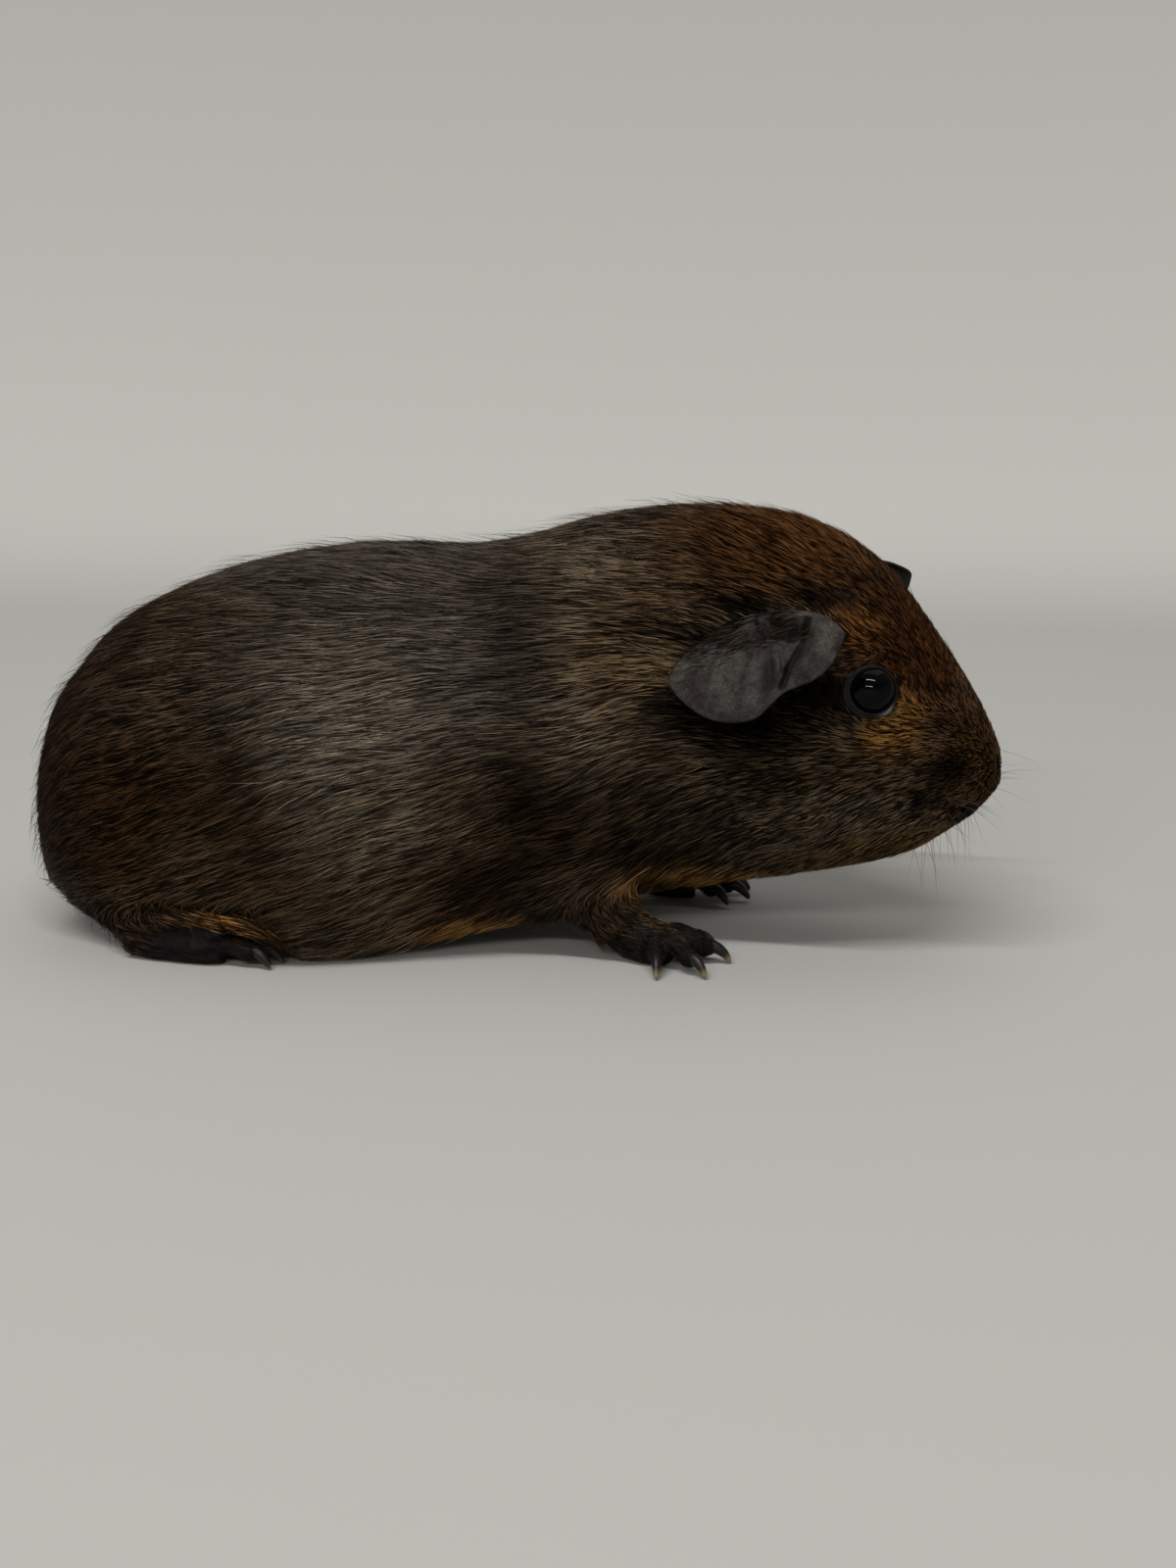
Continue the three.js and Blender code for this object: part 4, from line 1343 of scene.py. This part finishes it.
ahead, left, _ = in_head(tufts["roots"]).T
of_head = ahead > HEAD_BEGINS
along_body = np.where(of_head, ahead, tufts["roots"][:, 0] / MM)
coat = {"body": [], "head": []}
for name, begins, ends, on_head in PIECES:
    here = (along_body >= begins) & (along_body < ends) & (of_head == on_head)
    for side, sign in SIDES.items():
        own = here & (np.sign(left if on_head else tufts["roots"][:, 1]) == sign)
        coat["head" if on_head else "body"].append(coat_piece(f"coat_{name}_{side}", chosen(tufts, own)))
print("coat:", {piece.name: len(piece.data.polygons) for part in coat.values() for piece in part})

# %% [markdown]
# A guinea pig's whiskers are stiff tapering hairs, longest on the side of the muzzle, with a few over
# the eye. Each is a thin curved rod that leaves the skin nearly square to it and bends back. A curve
# with a bevel would look the same, but they are so few that a real rod costs nothing, and it keeps its
# taper when it is exported.

# %% Set the whiskers
# Each group: middle and spread of the roots in the head's frame for the left side, heading, how many, and
# their lengths in millimetres.
WHISKERS = {
    "muzzle": ((20.0, 11.0, -25.0), (3.0, 1.0, 4.0), (0.75, 0.55, 0.0), 12, (12, 22)),
    "lip": ((14.5, 8.0, -34.5), (5.5, 2.0, 1.2), (0.20, 0.25, -1.0), 11, (10, 19)),
    "brow": ((1.5, 21.0, 9.0), (1.6, 0.6, 0.8), (0.3, 0.5, 0.9), 3, (8, 13)),
}
WHISKER_RADIUS = 0.06 * MM
WHISKER_BURIED = 0.6 * MM
WHISKER_BEND = 0.16  # how far the tip is bent aside, as a share of the length
HEADING_STRAY = 0.16  # how far chance turns a whisker
OFF_THE_SKIN = 0.15  # how far it is turned towards the skin's normal
BEND_WAY = (-0.4, 0.1, -0.8)  # on the left side
BEND_STRAY = 0.2
WHISKER_STEPS = 9
WHISKER_SIDES = 5


def whisker(root, way, bend, length):
    """A tapered rod as rings of points, from under the skin to a point."""
    across = unit(np.cross(way, bend))
    above = np.cross(across, way)
    rings = []
    for share in np.linspace(0, 1, WHISKER_STEPS):
        middle = root + way * length * share + bend * length * WHISKER_BEND * share**2
        ring = middle + WHISKER_RADIUS * (1 - share) * ring_round(across, above, WHISKER_SIDES)
        rings.append(middle[None] if share in (0, 1) else ring)
    return rings


def whisker_piece(side):
    """All the whiskers of one side; both sides draw the same numbers, and so nearly mirror each other."""
    draw = np.random.default_rng(41)
    to_side = (1, SIDES[side], 1)
    whole = bmesh.new()
    for middle, spread, heading, count, lengths in WHISKERS.values():
        for _ in range(count):
            root = from_head((np.array(middle) + draw.normal(size=3) * spread) * to_side)
            spot, normal, _, _ = skin_tree.find_nearest(root)
            way = unit((np.array(heading) + draw.normal(size=3) * HEADING_STRAY) * to_side) @ HEAD_AXES
            way = unit(way + OFF_THE_SKIN * np.array(normal))
            bend = unit(np.array(BEND_WAY) * to_side + draw.normal(size=3) * BEND_STRAY)
            rings = whisker(np.array(spot) - way * WHISKER_BURIED, way, bend, draw.uniform(*lengths) * MM)
            take_in(whole, lathe(rings, "one"))
    mesh = written(whole, f"whiskers_{side}")
    places = read_points(mesh)
    places[:, 2] = np.maximum(places[:, 2], FLOOR_GAP)
    write_points(mesh, places)
    return as_object(f"whiskers_{side}", mesh)


whiskers = [whisker_piece(side) for side in SIDES]
print("whiskers:", [len(piece.data.polygons) for piece in whiskers], "faces")

# %% [markdown]
# The coat is a very dark chocolate brown, but never one flat brown. The flank has a grey cast, partly
# its own and partly painted sheen; haunch and rump are nearly black with rusty ticks, and rust shows
# again round the eye, on the crown, at the elbow and over the hind foot. Some patches are painted shade:
# in the hollows behind the arm and of the throat, under the jaw, in the fold behind the shoulders, and
# round and under the ears. The markings are one shader group that both skin and coat use, so that they
# always agree. It takes a place on the skin and mixes soft-edged patches one after another; a shade for
# each tuft then makes the ticking, which is partly the hair's own and partly painted sheen of single hairs.

# %% The coat's markings
# Each patch: in the body's or the head's frame, its middle and reach in millimetres, and its colour. The left
# side stands for both. A later patch lies over the earlier ones, and one without a name goes with the one
# above it.
BODY_BROWN = (0.056, 0.039, 0.024)
PATCHES = [
    ("body", (-30, 0, 96), (58, 44, 16), (0.060, 0.049, 0.039)),  # back: its own colour and painted sheen
    ("body", (-12, 40, 74), (48, 30, 22), (0.084, 0.069, 0.054)),  # grey flank: its own grey cast and painted sheen
    ("body", (-27, 46, 61), (19, 24, 30), (0.136, 0.112, 0.084)),  # light band ahead of the haunch: its own colour and painted sheen
    ("body", (-22, 48, 40), (16, 24, 12), (0.084, 0.065, 0.043)),
    ("body", (-82, 46, 29), (48, 40, 36), (0.0250, 0.0122, 0.0050)),  # haunch
    ("body", (-112, 0, 49), (36, 62, 52), (0.021, 0.0105, 0.0052)),  # rump
    ("body", (-91, 24, 77), (15, 44, 17), (0.032, 0.0195, 0.0115)),  # top of the rump
    ("body", (-62, 48, 26), (15, 24, 15), (0.044, 0.0280, 0.0155)),  # lighter foot of the haunch
    ("body", (-100, 40, 13), (19, 30, 11), (0.023, 0.0130, 0.0075)),  # dark foot of the rump
    ("body", (-80, 48, 17), (12, 24, 6), (0.042, 0.0260, 0.0135)),  # lighter again over the hind foot
    ("body", (-69, 48, 12.8), (9, 12, 2.2), (0.270, 0.130, 0.038)),  # gold over the hind foot
    ("body", (-76, 48, 3), (26, 14, 6.5), (0.012, 0.0088, 0.0080)),  # hind foot
    ("body", (21, 38, 43), (17, 26, 22), (0.011, 0.0060, 0.0025)),  # painted shade in the hollow behind the arm
    ("body", (6, 42, 23), (18, 26, 11), (0.012, 0.0063, 0.0025)),
    ("body", (6, 30, 10), (22, 18, 5), (0.170, 0.085, 0.026)),  # rust along the belly's edge
    ("body", (38, 34, 38), (14, 24, 15), (0.025, 0.0160, 0.0088)),  # painted shade in the hollow of the throat
    ("body", (26, 26, 80), (16, 34, 32), (0.105, 0.079, 0.053)),  # nape
    ("body", (15, 26, 78), (11, 34, 20), (0.037, 0.0285, 0.0210)),  # painted shade in the fold behind the shoulders
    ("body", (30, 0, 110), (24, 32, 12), (0.044, 0.034, 0.024)),  # top of the nape
    ("body", (18, 30, 16), (14, 14, 12), (0.026, 0.0170, 0.0100)),  # forearm
    ("body", (39, 24, 18), (8, 14, 10), (0.190, 0.094, 0.027)),  # rust before the forearm
    ("body", (42, 33, 28), (14, 20, 9), (0.0115, 0.0075, 0.0040)),  # painted shade under the jaw
    ("body", (42, 28, 3), (24, 22, 7), (0.012, 0.0080, 0.0062)),  # fore foot
    ("body", (54, 14, 19), (24, 16, 7), (0.160, 0.082, 0.024)),  # throat
    ("head", (-48, 30, 10), (14, 16, 18), (0.078, 0.050, 0.027)),  # behind the ear
    ("head", (-45, 32, 14), (8, 12, 5.5), (0.022, 0.0135, 0.0075)),  # painted shade at the ear's back edge
    ("head", (-8, 26, -26), (36, 24, 22), (0.026, 0.0178, 0.0098)),  # cheek
    ("head", (-8, 22, -30), (24, 18, 10), (0.050, 0.0370, 0.0235)),  # lighter lower cheek
    ("head", (-16, 28, -20), (7, 10, 6), (0.017, 0.0115, 0.0062)),  # dark spots of the cheek
    ("head", (-27, 30, -30), (7, 12, 8), (0.020, 0.0145, 0.0090)),
    ("head", (-18, 10, 30), (32, 26, 16), (0.042, 0.0175, 0.0057)),  # crown
    ("head", (-30, 32, 19), (8, 12, 6), (0.022, 0.0130, 0.0065)),  # darker behind the crown
    ("head", (8, 8, 8), (20, 20, 24), (0.021, 0.0076, 0.0022)),  # brow
    ("head", (1, 22, 14), (8, 9, 8), (0.064, 0.0260, 0.0066)),  # gold before the ear
    ("head", (-8, 27, -2), (11, 10, 6.5), (0.0030, 0.0016, 0.0008)),  # shade under the ear
    ("head", (-23, 31, -8), (20, 10, 6.5), (0.0020, 0.0012, 0.0006)),
    ("head", (-35, 34, -4), (10, 10, 6.5), (0.0021, 0.0013, 0.0007)),
    ("head", (-23.0, 24.5, 18), (8, 9, 4.2), (0.0022, 0.0014, 0.0008)),  # painted shade in the hollows over the ear
    ("head", (-8.5, 21, 18.5), (9, 9, 4.0), (0.0022, 0.0014, 0.0008)),
    ("head", (-34, 30.5, 10.5), (8, 9, 4.6), (0.0026, 0.0016, 0.0009)),
    ("head", (9.5, 19, -8), (8, 8, 8), (0.086, 0.042, 0.0112)),  # before the eye
    ("head", (28, 6, -16), (17, 18, 17), (0.025, 0.0118, 0.0042)),  # muzzle
    ("head", (20.2, 14, -18.3), (5, 5, 4.2), (0.0045, 0.0024, 0.0012)),  # dark spots of the whisker bed
    ("head", (15.0, 17, -24.2), (3.2, 5, 2.8), (0.0024, 0.0013, 0.0007)),
    ("head", (8, 12, -37), (22, 12, 6), (0.060, 0.034, 0.0135)),  # chin
]
PATCH_EDGE = (1.35, 0.40)  # a patch fades out between these shares of its reach
WANDER = (0.06, 8)  # how often to the millimetre, and how far in millimetres, the patches' edges wander
TICKS = (0.42, 0.90)  # shades between which a tuft turns from ground to tick
TICK_RANGE = (0.26, 2.6)  # how light ground and tick are, as shares of the patch's colour


def feed(tree, socket, value):
    """Links another node's socket to this one, or gives this one a plain value."""
    if isinstance(value, bpy.types.NodeSocket):
        tree.links.new(value, socket)
    else:
        socket.default_value = value


def put(tree, kind, inputs=(), **settings):
    """A new node with its settings and inputs; an input may be a value or another node's socket."""
    node = tree.nodes.new(kind)
    for name, value in settings.items():
        setattr(node, name, value)
    for key, value in dict(inputs).items():
        feed(tree, node.inputs[key], value)
    return node


def maths(tree, operation, *values):
    return put(tree, "ShaderNodeMath", enumerate(values), operation=operation).outputs[0]


def vectors(tree, operation, *values):
    node = put(tree, "ShaderNodeVectorMath", enumerate(values), operation=operation)
    return node.outputs["Value" if operation in ("LENGTH", "DOT_PRODUCT") else "Vector"]


def ramped(tree, value, begins, ends, low=0.0, high=1.0):
    """The value eased from low at begins to high at ends."""
    inputs = {"Value": value, "From Min": begins, "From Max": ends, "To Min": low, "To Max": high}
    return put(tree, "ShaderNodeMapRange", inputs, interpolation_type="SMOOTHSTEP").outputs["Result"]


def scaled(tree, colour, factor):
    """The colour made lighter or darker by a factor."""
    node = put(tree, "ShaderNodeVectorMath", {0: colour, "Scale": factor}, operation="SCALE")
    return node.outputs["Vector"]


def mixed(tree, share, first, second):
    """Two colours mixed; at a share of 1 only the second is left."""
    node = put(tree, "ShaderNodeMix", data_type="RGBA")
    for name, value in {"Factor": share, "A": first, "B": second}.items():
        socket = next(s for s in node.inputs if s.name == name and s.enabled)
        feed(tree, socket, (*value, 1) if isinstance(value, tuple) else value)
    return next(s for s in node.outputs if s.enabled)


def read_attribute(tree, name, output="Fac"):
    return put(tree, "ShaderNodeAttribute", attribute_name=name).outputs[output]


def new_group(name, inputs, outputs):
    tree = bpy.data.node_groups.new(name, "ShaderNodeTree")
    for title, kind in inputs:
        tree.interface.new_socket(title, in_out="INPUT", socket_type=kind)
    for title, kind in outputs:
        tree.interface.new_socket(title, in_out="OUTPUT", socket_type=kind)
    return tree, tree.nodes.new("NodeGroupInput"), tree.nodes.new("NodeGroupOutput")


def make_markings():
    tree, given, out = new_group(
        "coat markings",
        [("Place", "NodeSocketVector"), ("Shade", "NodeSocketFloat")],
        [("Color", "NodeSocketColor")],
    )
    often, far = WANDER
    place = vectors(tree, "MULTIPLY", given.outputs["Place"], (1 / MM,) * 3)
    edges = {"Vector": place, "Scale": often, "Detail": 2.5, "Roughness": 0.62}
    noise = put(tree, "ShaderNodeTexNoise", edges)
    shift = vectors(tree, "SUBTRACT", noise.outputs["Color"], (0.5,) * 3)
    place = vectors(tree, "ADD", place, vectors(tree, "MULTIPLY", shift, (far,) * 3))
    sideways = vectors(tree, "MULTIPLY", vectors(tree, "ABSOLUTE", place), (0, 1, 0))
    in_body = vectors(tree, "ADD", sideways, vectors(tree, "MULTIPLY", place, (1, 0, 1)))
    from_eyes = vectors(tree, "SUBTRACT", place, tuple(HEAD_MIDDLE / MM))
    forward, left, up = (vectors(tree, "DOT_PRODUCT", from_eyes, tuple(axis)) for axis in HEAD_AXES)
    on_head = put(tree, "ShaderNodeCombineXYZ", enumerate((forward, maths(tree, "ABSOLUTE", left), up)))
    frames = {"body": in_body, "head": on_head.outputs[0]}
    colour = BODY_BROWN
    for kind, middle, reach, tone in PATCHES:
        away = vectors(tree, "SUBTRACT", frames[kind], middle)
        away = vectors(tree, "LENGTH", vectors(tree, "DIVIDE", away, reach))
        colour = mixed(tree, ramped(tree, away, *PATCH_EDGE), colour, tone)
    shade = ramped(tree, given.outputs["Shade"], *TICKS, *TICK_RANGE)
    tree.links.new(scaled(tree, colour, shade), out.inputs["Color"])
    return tree


markings = make_markings()
print("markings:", len(PATCHES), "patches in", len(markings.nodes), "nodes")

# %% [markdown]
# Hair is dark where it leaves the skin and light towards its tip: partly its own colour, partly painted
# shade deep in the coat. Its gloss is low and soft, because each tuft stands for many hairs that point
# slightly apart. Blender has a shader made for hair, but on a solid tuft the plain one gives the same soft
# sheen, and it survives the export.

# %% The coat's finish
HAIR_GLOSS = {"body": 0.05, "head": 0.03}
HAIR_ROUGHNESS = 0.42
ROOT_TO_TIP = (0.30, 1.30)  # how light a tuft's root and tip are, as shares of its colour; the dark root is partly painted shade deep in the coat


def marked(tree, place, shade):
    """The markings' colour at a place."""
    node = put(tree, "ShaderNodeGroup", {"Place": place, "Shade": shade}, node_tree=markings)
    return node.outputs["Color"]


hair_materials = {}
for part, gloss in HAIR_GLOSS.items():
    finish = {"Roughness": HAIR_ROUGHNESS, "Specular IOR Level": gloss}
    hair_materials[part], tree, shader = new_material(f"coat of the {part}", finish)
    tone = marked(tree, read_attribute(tree, "tint_at", "Vector"), read_attribute(tree, "shade"))
    # A tuft darkens towards its root: its own colour and painted shade deep in the coat.
    lighter = ramped(tree, read_attribute(tree, "along"), 0.0, 0.9, *ROOT_TO_TIP)
    tree.links.new(scaled(tree, tone, lighter), shader.inputs["Base Color"])
print("coat finished for", ", ".join(hair_materials))

# %% [markdown]
# Under the coat the skin carries the same markings, darker, partly its own tone and partly painted
# shade between the tufts, and is scored along the lie of the hair by a bump of long thin noise. Where it
# is bare, the masks painted earlier take over: a charcoal ear with a faint leathery grain and painted
# shade in its creases, blackish feet, dark lids with a moist pale corner, and a black nose.

# %% The skin's finish
EAR_GREY = (0.053, 0.049, 0.044)
EAR_DARK = (0.019, 0.0145, 0.0145)
# Painted shade in the ears' creases and hollows.
EAR_CREASE_SHADE = (0.006, 0.005, 0.005)
FOOT_BLACK = (0.0025, 0.0020, 0.0021)
FOOT_GREY = (0.0080, 0.0066, 0.0070)
LID_DARK = (0.007, 0.0065, 0.006)
TEAR_GREY = (0.17, 0.172, 0.168)
NOSE_BLACK = (0.006, 0.005, 0.005)
LONG_NOISE = (0.16, 1.0, 1.0)  # the skin's hair noise is stretched along the body
UNDER_COAT_AND_SHADE = 0.35  # how dark the markings are on the skin under the hair: its own darker tone and painted shade between the tufts
DRY, MOIST = 0.62, 0.14  # roughness of skin, and how much smoother the lids are
SKIN_BUMP = {"Distance": 0.22 * MM, "Strength": 0.55}


def make_grain():
    """A leathery grain: fine creases and pores, as a height and as a mottling from 0 to 1."""
    tree, given, out = new_group(
        "leathery grain",
        [("Place", "NodeSocketVector")],
        [("Height", "NodeSocketFloat"), ("Mottling", "NodeSocketFloat")],
    )
    place = vectors(tree, "MULTIPLY", given.outputs["Place"], (1 / MM,) * 3)
    cells = put(tree, "ShaderNodeTexVoronoi", {"Vector": place, "Scale": 2.1}, feature="DISTANCE_TO_EDGE")
    fine = put(tree, "ShaderNodeTexNoise", {"Vector": place, "Scale": 1.1, "Detail": 4.0, "Roughness": 0.6})
    wide = put(tree, "ShaderNodeTexNoise", {"Vector": place, "Scale": 0.16, "Detail": 3.0, "Roughness": 0.55})
    creases = ramped(tree, cells.outputs["Distance"], 0.0, 0.16)
    height = maths(tree, "ADD", maths(tree, "MULTIPLY", creases, 0.35), fine.outputs["Fac"])
    tree.links.new(height, out.inputs["Height"])
    tree.links.new(ramped(tree, wide.outputs["Fac"], 0.32, 0.68), out.inputs["Mottling"])
    return tree


skin_material, tree, shader = new_material("skin", {"Specular IOR Level": 0.08})
place = put(tree, "ShaderNodeTexCoord").outputs["Object"]
grain = put(tree, "ShaderNodeGroup", {"Place": place}, node_tree=make_grain())
stretched = vectors(tree, "MULTIPLY", place, tuple(v / MM for v in LONG_NOISE))
hairs = put(tree, "ShaderNodeTexNoise", {"Vector": stretched, "Scale": 1.7, "Detail": 3.0}).outputs["Fac"]
masks = {name: read_attribute(tree, name) for name in MASKS}

ear_tone = mixed(tree, grain.outputs["Mottling"], EAR_DARK, EAR_GREY)
ear_tone = scaled(tree, ear_tone, ramped(tree, grain.outputs["Height"], 0.55, 1.0, 0.55, 1.35))
# The ears' creases and hollows get painted shade.
ear_tone = mixed(tree, maths(tree, "MULTIPLY", masks["crease"], 0.75), ear_tone, EAR_CREASE_SHADE)
bare_tones = {
    "ear": ear_tone, "foot": mixed(tree, grain.outputs["Mottling"], FOOT_BLACK, FOOT_GREY),
    "lid": LID_DARK, "tear": TEAR_GREY, "nose": NOSE_BLACK,
}
# The skin under the hair is darker: its own tone and painted shade between the tufts.
tone = vectors(tree, "MULTIPLY", marked(tree, place, hairs), (UNDER_COAT_AND_SHADE,) * 3)
for name, bare_tone in bare_tones.items():
    tone = mixed(tree, masks[name], tone, bare_tone)
tree.links.new(tone, shader.inputs["Base Color"])

rough = maths(tree, "SUBTRACT", DRY, maths(tree, "MULTIPLY", masks["lid"], MOIST))
tree.links.new(rough, shader.inputs["Roughness"])
bare = maths(tree, "MAXIMUM", masks["ear"], masks["foot"])
height = put(tree, "ShaderNodeMix", {0: bare, 2: hairs, 3: grain.outputs["Height"]}).outputs[0]
bump = put(tree, "ShaderNodeBump", {"Height": height, **SKIN_BUMP})
tree.links.new(bump.outputs["Normal"], shader.inputs["Normal"])
print("skin finished, with bare", ", ".join(bare_tones))

# %% [markdown]
# The eye is almost black and wet: a black pupil, an iris hardly lighter, and the grey-white edge of the
# ball just inside the corners of the lids. It could be a clear shell over a painted iris, but the iris
# is too dark to tell, so one surface does, and its gloss shows the two lamps. The claws run from black
# horn to an amber tip.

# %% Eyes and claws
EYE_FINISH = {"Roughness": 0.03, "IOR": 1.38, "Specular IOR Level": 0.15}
PUPIL_BLACK = (0.0003, 0.0003, 0.0006)
IRIS_DARK = (0.0022, 0.0017, 0.0015)
EDGE_WHITE = (0.09, 0.088, 0.082)
PUPIL_EDGE = (44, 58)  # degrees from the gaze
IRIS_EDGE = (64, 68)
CLAW_FINISH = {"Roughness": 0.40, "Specular IOR Level": 0.3}
HORN_BLACK = (0.008, 0.0065, 0.006)
HORN_AMBER = (0.26, 0.185, 0.095)
AMBER_FROM = (0.90, 1.14)  # shares of the claw's length, moved by the streaks
HORN_STREAKS = {"Scale": 900.0, "Detail": 2.0}
WHISKER_FINISH = {"Base Color": (0.035, 0.027, 0.021, 1), "Roughness": 0.4}

eye_material, tree, shader = new_material("eye", EYE_FINISH)
from_gaze = read_attribute(tree, "from_gaze")
tone = mixed(tree, ramped(tree, from_gaze, *PUPIL_EDGE), PUPIL_BLACK, IRIS_DARK)
tone = mixed(tree, ramped(tree, from_gaze, *IRIS_EDGE), tone, EDGE_WHITE)
tree.links.new(tone, shader.inputs["Base Color"])

claw_material, tree, shader = new_material("claw", CLAW_FINISH)
streaks = put(tree, "ShaderNodeTexNoise", HORN_STREAKS).outputs["Fac"]
along = maths(tree, "ADD", read_attribute(tree, "along"), maths(tree, "MULTIPLY", streaks, 0.3))
tone = mixed(tree, ramped(tree, along, *AMBER_FROM), HORN_BLACK, HORN_AMBER)
tree.links.new(tone, shader.inputs["Base Color"])

whisker_material = new_material("whisker", WHISKER_FINISH)[0]
print("finished", ", ".join(made.name for made in (eye_material, claw_material, whisker_material)))

# %% [markdown]
# Last, every piece gets its material and rides on the root body, and the frame's solids that it stands
# in for are hidden. The whole animal is one still body.

# %% Hand the pieces over
def hand_over(piece, material, stands_for=()):
    piece.data.materials.clear()
    piece.data.materials.append(material)
    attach(piece, "root")
    if stands_for:
        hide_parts(*stands_for)


hand_over(skin, skin_material, [*flesh, "ear_right", "ear_left"])
for part, pieces in coat.items():
    for piece in pieces:
        hand_over(piece, hair_materials[part])
for piece in whiskers:
    hand_over(piece, whisker_material)
for side, piece in eyes.items():
    hand_over(piece, eye_material, [f"eye_{side}"])
for name, piece in claws.items():
    hand_over(piece, claw_material, [name])
